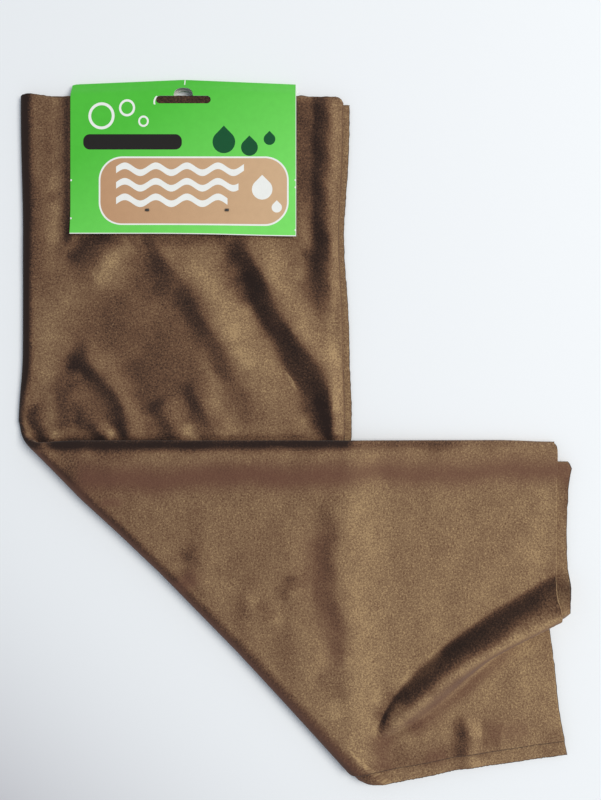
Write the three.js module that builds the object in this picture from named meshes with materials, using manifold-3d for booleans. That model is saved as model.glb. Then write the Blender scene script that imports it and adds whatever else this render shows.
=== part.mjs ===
// A suede-like chamois cloth, folded lengthwise into a strip of four layers and then once on a diagonal.
// Two plastic tag pins hold a folded header card over its top end.
// Lengths are in millimetres, turns in radians. +X is right, +Y is up the card, +Z is off the table.
import * as THREE from 'three';
import { mergeVertices } from 'three/addons/utils/BufferGeometryUtils.js';
import Module from 'manifold-3d';

const wasm = await Module();
wasm.setup();

// Clearance that touching pieces keep
const SEAT_GAP = 0.3;

// The cloth and its four layers
const CLOTH_THICKNESS = 0.7;
const LAYER_GAP = 0.6;
const STRIP_WIDTH = 180.4;
const FRONT_FOLD_INSET = 3.9;
const INNER_FOLD_INSET = 3;
const OUTER_FOLD_REACH = 4;

// The strip's two limbs
const UPPER_LENGTH = 190.2;
const LOWER_LENGTH = 294.3;
const TOP_SKEW = 2.2;
const BACK_LAYER_STEP = 1.5;

// The diagonal fold, and how far the inner pair of layers slid past the outer pair beyond it
const BEND_RADIUS = 5.2;
const BEND_EXTRA_REACH = 4.5;
const INNER_PAIR_SLIDE = 8;
const INNER_PAIR_STAGGER = 7;

// Where the lower limb comes down from the upper one to the table
const DROP_MARGIN = 1.1;
const DROP_RUN = 24;

// The buckle near the lower limb's free corner: a cone-like ridge from a tip inside the cloth
const BUCKLE_TIP_ALONG = 194.7;
const BUCKLE_TIP_DOWN = 162.3;
const BUCKLE_TURN = THREE.MathUtils.degToRad(8);
const BUCKLE_CREST_START = THREE.MathUtils.degToRad(41);
const BUCKLE_CREST_SWING = THREE.MathUtils.degToRad(11);
const BUCKLE_REACH = 125;
const BUCKLE_HALF_SPAN = 20.5;
const BUCKLE_GROWTH = 25;
const BUCKLE_LEAN_SHARE = 0.3;

// Below the buckle the free corner is drawn in towards the upper limb
const CORNER_DRAWN_IN = 3.4;
const DRAWN_IN_START = 30;
const DRAWN_IN_RUN = 50;
const LEAST_LINE_SPREAD = 9;

// The header card
const CARD_WIDTH = 123.6;
const CARD_HEIGHT = 84.2;
const CARD_THICKNESS = 0.45;
const CARD_INSET = 27.2;
const CARD_OVER_CLOTH = 6.4;
const CARD_CREASE_RADIUS = 0.7;
const CARD_CREASE_RISE = 1.9;
const CARD_RISE_RUN = 30;
const CARD_LIP_RISE = 2;
const CARD_LIP_RUN = 18;

// The hang hole: a slot with a rounded notch above it
const SLOT_WIDTH = 30;
const SLOT_HEIGHT = 4.2;
const SLOT_BELOW_CREASE = 11.5;
const NOTCH_WIDTH = 10.4;
const NOTCH_TOP_BELOW_CREASE = 4.7;
const NOTCH_CORNER = 3.4;

// The tag pins
const PIN_RADIUS = 0.45;
const PIN_BAR_LENGTH = 2.1;
const PIN_BAR_WIDTH = 1.4;
const PIN_BAR_THICKNESS = 0.6;
const PIN_ABOVE_CARD_EDGE = 14;
const LEFT_PIN_FROM_CENTRE = 19.6;
const RIGHT_PIN_FROM_CENTRE = 24;

// The cloth's rise over the card's back panel
const LIFT_MARGIN = 1.5;
const LIFT_RUN = 10;

// The waves of the upper limb's front layer. Each crest is a row of places: a share of the strip's
// width from the outer fold, and a share of the limb's length from the top.
const WAVES = [
  { height: 3.2, spread: 9, shares: [[0.4, 0.42], [0.5, 0.52], [0.58, 0.62], [0.66, 0.77], [0.71, 0.9]] },
  { height: 3.4, spread: 8, shares: [[0.66, 0.43], [0.73, 0.55], [0.82, 0.68], [0.88, 0.8], [0.93, 0.93]] },
  { height: 2.6, spread: 9, shares: [[0.31, 0.43], [0.2, 0.56], [0.12, 0.68], [0.09, 0.88]] },
  { height: 2.2, spread: 8, shares: [[0.15, 0.75], [0.24, 0.8], [0.31, 0.87], [0.37, 0.98]] },
];
const WAVE_START = 76;
const WAVE_RUN = 24;
const WAVE_END_RUN = 14;
const WAVE_SIDE_RUN = 16;
const ROLL_CLEARANCE = 3.2;

// Neighbouring stations and lines of the cloth stay at least this far apart
const LEAST_STEP = 0.35;

// Cutters run past what they cut by this much
const OVERRUN = 2;

// Counts of facets
const OUTER_FOLD_STEPS = 4;
const SMALL_FOLD_STEPS = 2;
const FRONT_LAYER_STEPS = 9;
const PINNED_STEPS = 3;
const WAVED_STEPS = 7;
const BEND_STEPS = 2;
const DROP_STEPS = 3;
const BUCKLED_STEPS = 6;
const COVERED_STEPS = 3;
const BUCKLE_LINE_SHARES = [-1, -0.6, -0.25, 0, 0.25, 0.6, 1];
const BUCKLE_SUM_STEPS = 12;
const BUCKLE_CREST_PASSES = 4;
const ROUND_SIDES = 6;
const HOLE_CURVE_STEPS = 6;
const CARD_COLUMNS = 4;
const CARD_LIP_STEPS = 4;

// Sizes worked out from those above
const PITCH = CLOTH_THICKNESS + LAYER_GAP;
const LAYERS = 4;
const STACK = LAYERS * CLOTH_THICKNESS + (LAYERS - 1) * LAYER_GAP;
const HALF_CLOTH = CLOTH_THICKNESS / 2;
const BEND_SHIFT = (Math.PI * BEND_RADIUS) / Math.SQRT2;
const BEND_START = UPPER_LENGTH - BEND_SHIFT;
const LOWER_BASE = 2 * BEND_RADIUS - STACK;
const DIAGONAL_LENGTH = Math.SQRT2 * STRIP_WIDTH + 2 * BEND_SHIFT;
const CARD_BACK_BOTTOM = PIN_BAR_THICKNESS + SEAT_GAP;
const CARD_LIFT = CARD_BACK_BOTTOM + CARD_THICKNESS + SEAT_GAP;
const CARD_FRONT_BOTTOM = CARD_LIFT + STACK + SEAT_GAP;
const CARD_EDGE_ALONG = CARD_HEIGHT - CARD_OVER_CLOTH;
const CARD_CENTRE = CARD_INSET + CARD_WIDTH / 2;

// The layers from the table up on the upper limb: back, inner back, inner front, front
const LAYER_UP = Array.from({ length: LAYERS }, (_, layer) => HALF_CLOTH + layer * PITCH);

const clamp = THREE.MathUtils.clamp;
const lerp = THREE.MathUtils.lerp;
const smooth = (value, low, high) => THREE.MathUtils.smoothstep(value, low, high);

// A straight run of one layer from one place across the strip to another, through the lines between
function layerRun(from, to, lines, up, kind) {
  const travel = Math.sign(to - from);
  const between = travel > 0 ? lines : [...lines].reverse();
  const spots = [from, ...between, to];
  return spots.map((across) => ({ across, up, outAcross: 0, outUp: travel, ...kind }));
}

// The bend of a lengthwise fold between two runs, without the ends that it shares with them
function foldBend(centreAcross, centreUp, reach, rise, steps, side, kindAt) {
  const bends = [];
  for (let step = 1; step < steps; step += 1) {
    const turn = (Math.PI * step) / steps;
    const sense = side.startUp;
    const outAcross = side.direction * Math.sin(turn);
    const outUp = sense * Math.cos(turn);
    bends.push({
      across: centreAcross + reach * outAcross,
      up: centreUp + rise * outUp,
      outAcross: outAcross * side.face,
      outUp: outUp * side.face,
      ...kindAt(step / steps),
    });
  }
  return bends;
}

// The middle line of the folded sheet across the strip, from one cut edge to the other.
// The shares of the inner pair's slide are 0 where the layers lie as folded, and 1 at its furthest.
function sheetPath(foldSlideShare, edgeSlideShare, backLines, frontLines) {
  const [back, innerBack, innerFront, front] = LAYER_UP;
  const small = PITCH / 2;
  const innerFold = INNER_FOLD_INSET + INNER_PAIR_SLIDE * foldSlideShare;
  const frontFold = STRIP_WIDTH - FRONT_FOLD_INSET + (INNER_PAIR_SLIDE / 2) * edgeSlideShare;
  const innerEdge = STRIP_WIDTH + INNER_PAIR_SLIDE * edgeSlideShare;
  const outer = { inner: 0 };
  const inner = { inner: 1 };
  return [
    ...layerRun(STRIP_WIDTH, OUTER_FOLD_REACH, backLines, back, { ...outer, backLayer: 1 }),
    ...foldBend(OUTER_FOLD_REACH, (back + front) / 2, OUTER_FOLD_REACH, (front - back) / 2,
      OUTER_FOLD_STEPS, { direction: -1, startUp: -1, face: 1 }, () => outer),
    ...layerRun(OUTER_FOLD_REACH, frontFold - small, frontLines, front, { ...outer, waved: true }),
    ...foldBend(frontFold - small, (front + innerFront) / 2, small, small, SMALL_FOLD_STEPS,
      { direction: 1, startUp: 1, face: 1 }, (share) => ({ inner: share })),
    ...layerRun(frontFold - small, innerFold + small, backLines, innerFront, inner),
    ...foldBend(innerFold + small, (innerFront + innerBack) / 2, small, small, SMALL_FOLD_STEPS,
      { direction: -1, startUp: 1, face: -1 }, () => inner),
    ...layerRun(innerFold + small, innerEdge, backLines, innerBack, { ...inner, backLayer: 1 }),
  ];
}

// Height of one wave at a place on the upper limb: a rounded bank along its crest
function waveHeight(wave, across, along) {
  const crest = wave.shares.map(([u, v]) => new THREE.Vector2(u * STRIP_WIDTH, v * UPPER_LENGTH));
  const place = new THREE.Vector2(across, along);
  const nearest = crest.slice(1).reduce((least, end, index) => {
    const start = crest[index];
    const run = end.clone().sub(start);
    const share = clamp(place.clone().sub(start).dot(run) / run.lengthSq(), 0, 1);
    return Math.min(least, place.distanceTo(start.clone().addScaledVector(run, share)));
  }, Infinity);
  return wave.height * Math.exp(-((nearest / wave.spread) ** 2));
}

// Height of the front layer above its flat place on the upper limb
function waveAt(across, along) {
  const frontFold = STRIP_WIDTH - FRONT_FOLD_INSET;
  const ends = smooth(along, WAVE_START, WAVE_START + WAVE_RUN)
    * (1 - smooth(along, UPPER_LENGTH - ROLL_CLEARANCE - WAVE_END_RUN, UPPER_LENGTH - ROLL_CLEARANCE));
  const left = smooth(across, OUTER_FOLD_REACH, WAVE_SIDE_RUN);
  const right = 1 - smooth(across, frontFold - WAVE_SIDE_RUN, frontFold);
  return ends * left * right * WAVES.reduce((sum, wave) => sum + waveHeight(wave, across, along), 0);
}

// Height of the cloth's underside on the upper limb, where the card's back panel lies beneath it
function liftAt(across, along) {
  const share = (distance) => clamp(1 - distance / LIFT_RUN, 0, 1);
  const left = share(CARD_INSET - LIFT_MARGIN - across);
  const right = share(across - CARD_INSET - CARD_WIDTH - LIFT_MARGIN);
  const below = share(along - CARD_EDGE_ALONG - LIFT_MARGIN);
  return CARD_LIFT * Math.min(left, right, below);
}

// A point of the strip on the diagonal bend, as a turn about the bend's axis
function bendPoint(across, turn, up) {
  const diagonal = Math.SQRT2 * across + BEND_RADIUS * turn;
  const reach = BEND_RADIUS - up + (BEND_EXTRA_REACH * diagonal) / DIAGONAL_LENGTH;
  const out = reach * Math.sin(turn);
  return new THREE.Vector3(
    (diagonal - out) / Math.SQRT2,
    -BEND_START - (diagonal + out) / Math.SQRT2,
    BEND_RADIUS - (BEND_RADIUS - up) * Math.cos(turn),
  );
}

// A point of the upper limb, with its outer fold at x = 0 and its top edge at y = 0
function upperPoint(across, along, up) {
  return new THREE.Vector3(across, -along, liftAt(across, along) + up);
}

// Half the cloth that the buckle takes up, at a distance from its tip
const buckleHalfSpan = (radius) => BUCKLE_HALF_SPAN * (1 - Math.exp(-radius / BUCKLE_GROWTH));

// The direction from the tip to the buckle's crest, in the cloth as it lay before it buckled
const buckleCrest = (radius) => BUCKLE_CREST_START - BUCKLE_CREST_SWING * (radius / BUCKLE_REACH);

// The steepest slope of a buckle that takes up this share of the cloth: the sheet keeps its length,
// so the share is one minus the mean cosine of its slope
const buckleSteepness = (share) => Math.sqrt(8 * (1 - Math.sqrt(1 - clamp(share, 0, 1))));

// Sums a slope function along the sheet by the midpoint rule
function sumAlong(length, valueAt) {
  const step = length / BUCKLE_SUM_STEPS;
  let sum = 0;
  for (let index = 0; index < BUCKLE_SUM_STEPS; index += 1) sum += valueAt((index + 1 / 2) * step) * step;
  return sum;
}

// The buckle's profile at a signed distance along the sheet from its crest: run across, rise and slope
function buckleProfile(distance, halfSpan, steepness) {
  const slopeAt = (place) => steepness * Math.sin((Math.PI * place) / halfSpan);
  const within = Math.min(Math.abs(distance), halfSpan);
  const side = Math.sign(distance);
  const run = sumAlong(within, (place) => Math.cos(slopeAt(place))) + Math.abs(distance) - within;
  const peak = sumAlong(halfSpan, (place) => Math.sin(slopeAt(place)));
  const fall = sumAlong(within, (place) => Math.sin(slopeAt(place)));
  return { run: side * run, rise: peak - fall, slope: -side * (within < halfSpan ? slopeAt(within) : 0) };
}

// A point of the lower limb past the bend: along from the upper limb's outer fold, down from its own top
function lowerPoint(along, down, up) {
  const base = LOWER_BASE * (1 - clamp((along - STRIP_WIDTH - DROP_MARGIN) / DROP_RUN, 0, 1));
  const stackHeight = STACK - up;
  const east = along - BUCKLE_TIP_ALONG;
  const north = BUCKLE_TIP_DOWN - down;
  const radius = Math.hypot(east, north);
  const direction = Math.atan2(north, east);
  const crest = buckleCrest(radius);
  const halfSpan = buckleHalfSpan(radius);
  const distance = radius * (crest - direction);
  if (distance <= -halfSpan) return new THREE.Vector3(along, -UPPER_LENGTH - down, base + stackHeight);

  const fade = 1 - smooth(-direction, Math.PI / 2, Math.PI);
  const steepness = buckleSteepness((radius * BUCKLE_TURN) / (2 * halfSpan));
  const profile = buckleProfile(distance, halfSpan, steepness);
  const lean = BUCKLE_LEAN_SHARE * clamp(radius / BUCKLE_REACH, 0, 1);
  const slope = new THREE.Vector2(Math.cos(profile.slope), Math.sin(profile.slope));
  const tangent = new THREE.Vector2(slope.x + lean * slope.y, slope.y).normalize();
  const offset = stackHeight - STACK / 2;
  const run = profile.run + lean * profile.rise - offset * tangent.y;
  const height = base + STACK / 2 + profile.rise + offset * tangent.x;
  const turned = distance >= halfSpan ? direction + BUCKLE_TURN * fade : crest + BUCKLE_TURN / 2 - run / radius;
  const drawnShare = smooth(radius, DRAWN_IN_START, DRAWN_IN_START + DRAWN_IN_RUN) * smooth(distance, 0, halfSpan);
  return new THREE.Vector3(
    BUCKLE_TIP_ALONG + radius * Math.cos(turned) - CORNER_DRAWN_IN * fade * drawnShare,
    -UPPER_LENGTH - BUCKLE_TIP_DOWN + radius * Math.sin(turned),
    height,
  );
}

// The place of the buckle's crest across the strip, where the strip passes a given place along
function crestDown(along) {
  const east = Math.max(along - BUCKLE_TIP_ALONG, 0);
  let radius = east;
  for (let pass = 0; pass < BUCKLE_CREST_PASSES; pass += 1) radius = east / Math.cos(buckleCrest(radius));
  return { down: BUCKLE_TIP_DOWN - radius * Math.sin(buckleCrest(radius)), radius };
}

// Lines across the lower limb that follow the buckle's crest and flanks
function buckleLines(along) {
  const { down, radius } = crestDown(along);
  const slant = radius > 0 ? buckleCrest(radius) : 0;
  const lineSpread = Math.max(buckleHalfSpan(radius), LEAST_LINE_SPREAD) / Math.cos(slant);
  const least = INNER_FOLD_INSET + INNER_PAIR_SLIDE + PITCH;
  const most = STRIP_WIDTH - FRONT_FOLD_INSET - PITCH;
  const count = BUCKLE_LINE_SHARES.length;
  return BUCKLE_LINE_SHARES.map((share, index) =>
    clamp(down + share * lineSpread, least + index * LEAST_STEP, most - (count - index) * LEAST_STEP));
}

// Lines across the upper limb: the ramps beside the card, and for the front layer the columns between them
function upperLines(steps) {
  const left = CARD_INSET - LIFT_MARGIN;
  const right = CARD_INSET + CARD_WIDTH + LIFT_MARGIN;
  const columns = Array.from({ length: steps + 1 }, (_, index) => lerp(left, right, index / steps));
  return [left - LIFT_RUN, ...columns, right + LIFT_RUN];
}

// Evenly spaced values after the first, up to and including the last
const spread = (from, to, steps) => Array.from(
  { length: steps },
  (_, index) => lerp(from, to, (index + 1) / steps),
);

// The upper limb's stations, as rings of points: each holds the sheet's two faces across the strip
function upperRings() {
  const shape = (edgeSlideShare) => sheetPath(0, edgeSlideShare, upperLines(1), upperLines(FRONT_LAYER_STEPS));
  const cardEnd = CARD_EDGE_ALONG + LIFT_MARGIN;
  const alongs = [
    0,
    ...spread(0, cardEnd, PINNED_STEPS),
    cardEnd + LIFT_RUN,
    ...spread(cardEnd + LIFT_RUN, UPPER_LENGTH - ROLL_CLEARANCE, WAVED_STEPS),
  ];
  const flat = alongs.map((along, station) => (node, across, up) => {
    const cutEdge = (TOP_SKEW * across) / STRIP_WIDTH + BACK_LAYER_STEP * (node.backLayer ?? 0);
    const most = BEND_START + across - (alongs.length - station) * LEAST_STEP;
    const place = station === 0 ? cutEdge : Math.min(along, most);
    return upperPoint(across, place, up + (node.waved ? waveAt(across, place) : 0));
  });
  const turns = [0, ...spread(0, Math.PI / 2 - SEAT_GAP / (2 * BEND_RADIUS), BEND_STEPS)];
  const bent = turns.map((turn) => (node, across, up) => bendPoint(across, turn, up));
  return [...flat.map((place) => ringOf(shape(0), place)), ...bent.map((place) => ringOf(shape(1), place))];
}

// The lower limb's stations, from the other side of the diagonal fold to the cut end
function lowerRings() {
  const flatPath = (foldSlideShare, along) => {
    const lines = buckleLines(along);
    return sheetPath(foldSlideShare, 1, lines, lines);
  };
  const turns = [Math.PI / 2 + SEAT_GAP / (2 * BEND_RADIUS), ...spread(Math.PI / 2, Math.PI, BEND_STEPS)];
  const bent = turns.map((turn) => ringOf(
    flatPath(smooth(turn, Math.PI / 2, Math.PI), 0),
    (node, across, up) => bendPoint(across, turn, up),
  ));
  const dropStart = STRIP_WIDTH + DROP_MARGIN;
  const dropEnd = dropStart + DROP_RUN;
  const alongs = [
    ...spread(0, dropStart, COVERED_STEPS),
    ...spread(dropStart, dropEnd, DROP_STEPS),
    ...spread(dropEnd, LOWER_LENGTH, BUCKLED_STEPS),
  ];
  const flat = alongs.map((along, index) => {
    const last = index === alongs.length - 1;
    const endOf = (node) => along + (last ? INNER_PAIR_STAGGER * node.inner : 0);
    const shapes = new Map([0, 1 / 2, 1].map((inner) => [inner, flatPath(1, endOf({ inner }))]));
    const path = flatPath(1, along).map((node, place) => shapes.get(node.inner)[place]);
    return ringOf(path, (node, across, up) => {
      const least = across + BEND_SHIFT + (index + 1) * LEAST_STEP;
      return lowerPoint(Math.max(endOf(node), least), across, up);
    });
  });
  return [...bent, ...flat];
}

// Both faces of the sheet at one station
function ringOf(path, place) {
  const face = (side) => path.map((node) => place(
    node,
    node.across + side * HALF_CLOTH * node.outAcross,
    node.up + side * HALF_CLOTH * node.outUp,
  ));
  return { outer: face(1), inner: face(-1) };
}

// A closed solid from rings of outer and inner points, with its cut edges and ends
function sheetSolid(rings) {
  const count = rings[0].outer.length;
  const points = rings.flatMap((ring) => [...ring.outer, ...ring.inner]);
  const at = (ring, side, place) => ring * 2 * count + side * count + place;
  const faces = [];
  const quad = (a, b, c, d) => faces.push(a, b, c, a, c, d);
  for (let ring = 0; ring + 1 < rings.length; ring += 1) {
    for (let place = 0; place + 1 < count; place += 1) {
      quad(at(ring, 0, place), at(ring, 0, place + 1), at(ring + 1, 0, place + 1), at(ring + 1, 0, place));
      quad(at(ring, 1, place), at(ring + 1, 1, place), at(ring + 1, 1, place + 1), at(ring, 1, place + 1));
    }
    const end = count - 1;
    quad(at(ring, 0, 0), at(ring + 1, 0, 0), at(ring + 1, 1, 0), at(ring, 1, 0));
    quad(at(ring, 0, end), at(ring, 1, end), at(ring + 1, 1, end), at(ring + 1, 0, end));
  }
  const last = rings.length - 1;
  for (let place = 0; place + 1 < count; place += 1) {
    quad(at(0, 0, place), at(0, 1, place), at(0, 1, place + 1), at(0, 0, place + 1));
    quad(at(last, 0, place), at(last, 0, place + 1), at(last, 1, place + 1), at(last, 1, place));
  }
  const geometry = new THREE.BufferGeometry().setFromPoints(points);
  geometry.setIndex(faces);
  return geometry;
}

// A solid for joining and cutting, from a closed geometry
function solidOf(geometry) {
  const bare = geometry.clone();
  bare.deleteAttribute('normal');
  bare.deleteAttribute('uv');
  const merged = mergeVertices(bare);
  return new wasm.Manifold(new wasm.Mesh({
    numProp: 3,
    vertProperties: new Float32Array(merged.attributes.position.array),
    triVerts: new Uint32Array(merged.index.array),
  }));
}

function geometryOf(solid) {
  const mesh = solid.getMesh();
  const geometry = new THREE.BufferGeometry();
  geometry.setAttribute('position', new THREE.BufferAttribute(new Float32Array(mesh.vertProperties), 3));
  geometry.setIndex(new THREE.BufferAttribute(new Uint32Array(mesh.triVerts), 1));
  return geometry;
}

// Faces of a sheet made in the other sense point inwards, and are turned round
function facingOut(geometry) {
  if (solidOf(geometry).volume() > 0) return geometry;
  const index = geometry.index.array;
  for (let place = 0; place < index.length; place += 3) {
    [index[place + 1], index[place + 2]] = [index[place + 2], index[place + 1]];
  }
  return geometry;
}

// Centres of the two pins on the upper limb
const PIN_ALONG = CARD_EDGE_ALONG - PIN_ABOVE_CARD_EDGE;
const PIN_PLACES = {
  tag_pin_left: new THREE.Vector2(CARD_CENTRE - LEFT_PIN_FROM_CENTRE, -PIN_ALONG),
  tag_pin_right: new THREE.Vector2(CARD_CENTRE + RIGHT_PIN_FROM_CENTRE, -PIN_ALONG),
};

// The rise of the card's front panel at a distance below its crease: nothing until near the lower edge
const lipRise = (below) => CARD_LIP_RISE * clamp((below - (CARD_HEIGHT - CARD_LIP_RUN)) / CARD_LIP_RUN, 0, 1) ** 2;

function upright(radius, bottom, top, place) {
  const rod = new THREE.CylinderGeometry(radius, radius, top - bottom, ROUND_SIDES);
  rod.rotateX(Math.PI / 2);
  rod.translate(place.x, place.y, (bottom + top) / 2);
  return solidOf(rod);
}

function crossBar(bottom, place) {
  const bar = new THREE.BoxGeometry(PIN_BAR_LENGTH, PIN_BAR_WIDTH, PIN_BAR_THICKNESS);
  bar.translate(place.x, place.y, bottom + PIN_BAR_THICKNESS / 2);
  return solidOf(bar);
}

// A pin: a bar on the card's front, a bar on its back and the thread between them
function tagPin(place) {
  const lowest = CARD_HEIGHT - PIN_ABOVE_CARD_EDGE + PIN_BAR_WIDTH / 2;
  const frontBar = CARD_FRONT_BOTTOM + CARD_THICKNESS + lipRise(lowest) + SEAT_GAP;
  const thread = upright(PIN_RADIUS, PIN_BAR_THICKNESS / 2, frontBar + PIN_BAR_THICKNESS / 2, place);
  return geometryOf(thread.add(crossBar(0, place)).add(crossBar(frontBar, place)));
}

function cutPinHoles(solid) {
  const top = CARD_FRONT_BOTTOM + CARD_THICKNESS + CARD_LIP_RISE + OVERRUN;
  return Object.values(PIN_PLACES).reduce(
    (left, place) => left.subtract(upright(PIN_RADIUS + SEAT_GAP, -OVERRUN, top, place)),
    solid,
  );
}

// The card's middle line: up its back panel, round the crease and down its front panel.
// Each place is a distance below the crease and a height.
function cardLine() {
  const backUp = CARD_BACK_BOTTOM + CARD_THICKNESS / 2;
  const frontUp = CARD_FRONT_BOTTOM + CARD_THICKNESS / 2;
  const shoulder = CARD_OVER_CLOTH - CARD_THICKNESS;
  const crease = spread(0, Math.PI, SMALL_FOLD_STEPS + 1).slice(0, -1).map((turn) => new THREE.Vector2(
    CARD_CREASE_RADIUS * (1 - Math.sin(turn)),
    backUp + CARD_CREASE_RADIUS * (1 - Math.cos(turn)),
  ));
  const lip = spread(CARD_HEIGHT - CARD_LIP_RUN, CARD_HEIGHT, CARD_LIP_STEPS);
  return [
    new THREE.Vector2(CARD_HEIGHT, backUp),
    new THREE.Vector2(CARD_RISE_RUN, backUp),
    new THREE.Vector2(CARD_RISE_RUN / 2, backUp),
    new THREE.Vector2(CARD_CREASE_RADIUS, backUp),
    ...crease,
    new THREE.Vector2(shoulder, frontUp),
    new THREE.Vector2(CARD_RISE_RUN / 2, frontUp),
    new THREE.Vector2(CARD_RISE_RUN, frontUp),
    new THREE.Vector2(CARD_HEIGHT - CARD_LIP_RUN, frontUp),
    ...lip.map((below) => new THREE.Vector2(below, frontUp + lipRise(below))),
  ];
}

// The line's points moved half a card thickness to one side, square to the line
function besideLine(line, side) {
  return line.map((point, index) => {
    const before = line[Math.max(index - 1, 0)];
    const after = line[Math.min(index + 1, line.length - 1)];
    const first = point.clone().sub(before).normalize();
    const second = after.clone().sub(point).normalize();
    const heading = first.clone().add(second).normalize();
    const straight = first.lengthSq() > 0 && second.lengthSq() > 0 ? heading.dot(second) : 1;
    const reach = (side * CARD_THICKNESS) / (2 * straight);
    return new THREE.Vector2(point.x - heading.y * reach, point.y + heading.x * reach);
  });
}

// The crease rises from both ends to the middle of the card's width
function cardPoint(column, below, up) {
  const across = lerp(CARD_INSET, CARD_INSET + CARD_WIDTH, column);
  const rise = CARD_CREASE_RISE * (1 - Math.abs(2 * column - 1)) * (1 - smooth(below, 0, CARD_RISE_RUN));
  return new THREE.Vector3(across, CARD_OVER_CLOTH - below + rise, up);
}

function cardSheet() {
  const line = cardLine();
  const sides = [besideLine(line, 1), besideLine(line, -1)];
  const rings = Array.from({ length: CARD_COLUMNS + 1 }, (_, index) => {
    const column = index / CARD_COLUMNS;
    const [outer, inner] = sides.map((side) => side.map((point) => cardPoint(column, point.x, point.y)));
    return { outer, inner };
  });
  return sheetSolid(rings);
}

// The hang hole's outline: a slot with round ends, and a notch with rounded corners above its middle
function hangHoleShape() {
  const slotEnd = SLOT_HEIGHT / 2;
  const straight = SLOT_WIDTH / 2 - slotEnd;
  const slotMiddle = CARD_OVER_CLOTH + CARD_CREASE_RISE - SLOT_BELOW_CREASE;
  const notchTop = CARD_OVER_CLOTH + CARD_CREASE_RISE - NOTCH_TOP_BELOW_CREASE;
  const half = NOTCH_WIDTH / 2;
  const shape = new THREE.Shape();
  shape.absarc(-straight, slotMiddle, slotEnd, Math.PI / 2, (3 * Math.PI) / 2, false);
  shape.absarc(straight, slotMiddle, slotEnd, -Math.PI / 2, Math.PI / 2, false);
  shape.lineTo(half, slotMiddle + slotEnd);
  shape.absarc(half - NOTCH_CORNER, notchTop - NOTCH_CORNER, NOTCH_CORNER, 0, Math.PI / 2, false);
  shape.absarc(NOTCH_CORNER - half, notchTop - NOTCH_CORNER, NOTCH_CORNER, Math.PI / 2, Math.PI, false);
  shape.lineTo(-half, slotMiddle + slotEnd);
  shape.closePath();
  return shape;
}

function headerCard() {
  const depth = CARD_FRONT_BOTTOM + CARD_THICKNESS + 2 * OVERRUN;
  const cut = { depth, bevelEnabled: false, curveSegments: HOLE_CURVE_STEPS };
  const hole = new THREE.ExtrudeGeometry(hangHoleShape(), cut);
  hole.translate(CARD_CENTRE, 0, -OVERRUN);
  const card = solidOf(facingOut(cardSheet())).subtract(solidOf(hole));
  return geometryOf(cutPinHoles(card));
}

function clothUpperLimb() {
  return geometryOf(cutPinHoles(solidOf(facingOut(sheetSolid(upperRings())))));
}

function clothLowerLimb() {
  return facingOut(sheetSolid(lowerRings()));
}

const chamois = new THREE.MeshStandardMaterial({ color: 0x967d5f, roughness: 0.95, metalness: 0 });
const printedCard = new THREE.MeshStandardMaterial({ color: 0x58c845, roughness: 0.45, metalness: 0 });
const darkPlastic = new THREE.MeshStandardMaterial({ color: 0x2a2624, roughness: 0.5, metalness: 0 });

function addNode(parent, name, geometry, material) {
  const mesh = new THREE.Mesh(geometry, material);
  mesh.name = name;
  parent.add(mesh);
}

// The pieces as they lie, and the group that puts the middle of their footprint at the origin
const pieces = new THREE.Group();
addNode(pieces, 'cloth_upper_limb', clothUpperLimb(), chamois);
addNode(pieces, 'cloth_lower_limb', clothLowerLimb(), chamois);
addNode(pieces, 'header_card', headerCard(), printedCard);
for (const [name, place] of Object.entries(PIN_PLACES)) addNode(pieces, name, tagPin(place), darkPlastic);

const bounds = new THREE.Box3().setFromObject(pieces);
const middle = bounds.getCenter(new THREE.Vector3());
pieces.position.set(-middle.x, -middle.y, -bounds.min.z);

const group = new THREE.Group();
group.add(pieces);
export default group;
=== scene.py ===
"""A folded suede-like chamois cloth with its header card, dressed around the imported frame.

Where nothing else is said, lengths are millimetres in the cloth's own plan: x runs right from the outer fold
of the upper limb, y runs up from the cloth's top edge, z is off the table. They become metres in the frame
when a mesh is made. A pair of places in a field is the two ends of a smooth change, first the end where it
is nothing. Three numbers for a hump are its amount, its middle and its spread.
"""

import logging
import math
from collections.abc import Iterable
from dataclasses import dataclass
from enum import Enum

import bmesh
import bpy
import numpy as np
from bpy.types import Material, Mesh, Node, NodeSocket, NodeTree, Object
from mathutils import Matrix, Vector


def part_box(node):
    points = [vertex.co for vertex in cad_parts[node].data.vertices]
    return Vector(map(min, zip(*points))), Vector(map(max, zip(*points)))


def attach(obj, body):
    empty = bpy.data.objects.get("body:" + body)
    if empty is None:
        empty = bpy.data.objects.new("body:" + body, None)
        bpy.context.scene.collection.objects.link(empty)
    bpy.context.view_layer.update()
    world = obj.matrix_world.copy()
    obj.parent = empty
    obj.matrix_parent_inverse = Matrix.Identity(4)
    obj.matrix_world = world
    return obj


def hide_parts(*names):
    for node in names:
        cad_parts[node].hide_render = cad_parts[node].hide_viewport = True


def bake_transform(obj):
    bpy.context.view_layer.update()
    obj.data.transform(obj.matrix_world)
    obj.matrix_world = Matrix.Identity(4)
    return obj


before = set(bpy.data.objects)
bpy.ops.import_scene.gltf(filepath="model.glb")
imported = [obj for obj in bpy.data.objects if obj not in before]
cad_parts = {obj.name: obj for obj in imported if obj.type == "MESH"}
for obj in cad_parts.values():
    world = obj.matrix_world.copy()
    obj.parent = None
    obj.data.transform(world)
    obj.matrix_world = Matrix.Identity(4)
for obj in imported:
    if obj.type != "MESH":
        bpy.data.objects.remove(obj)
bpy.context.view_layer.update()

MM = 0.001
TINY = 1e-6
LOG = logging.getLogger("chamois")
Array = np.ndarray
Pair = tuple[float, float]
Triple = tuple[float, float, float]
Box = tuple[Pair, Pair, float]


# Shared helpers


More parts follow.
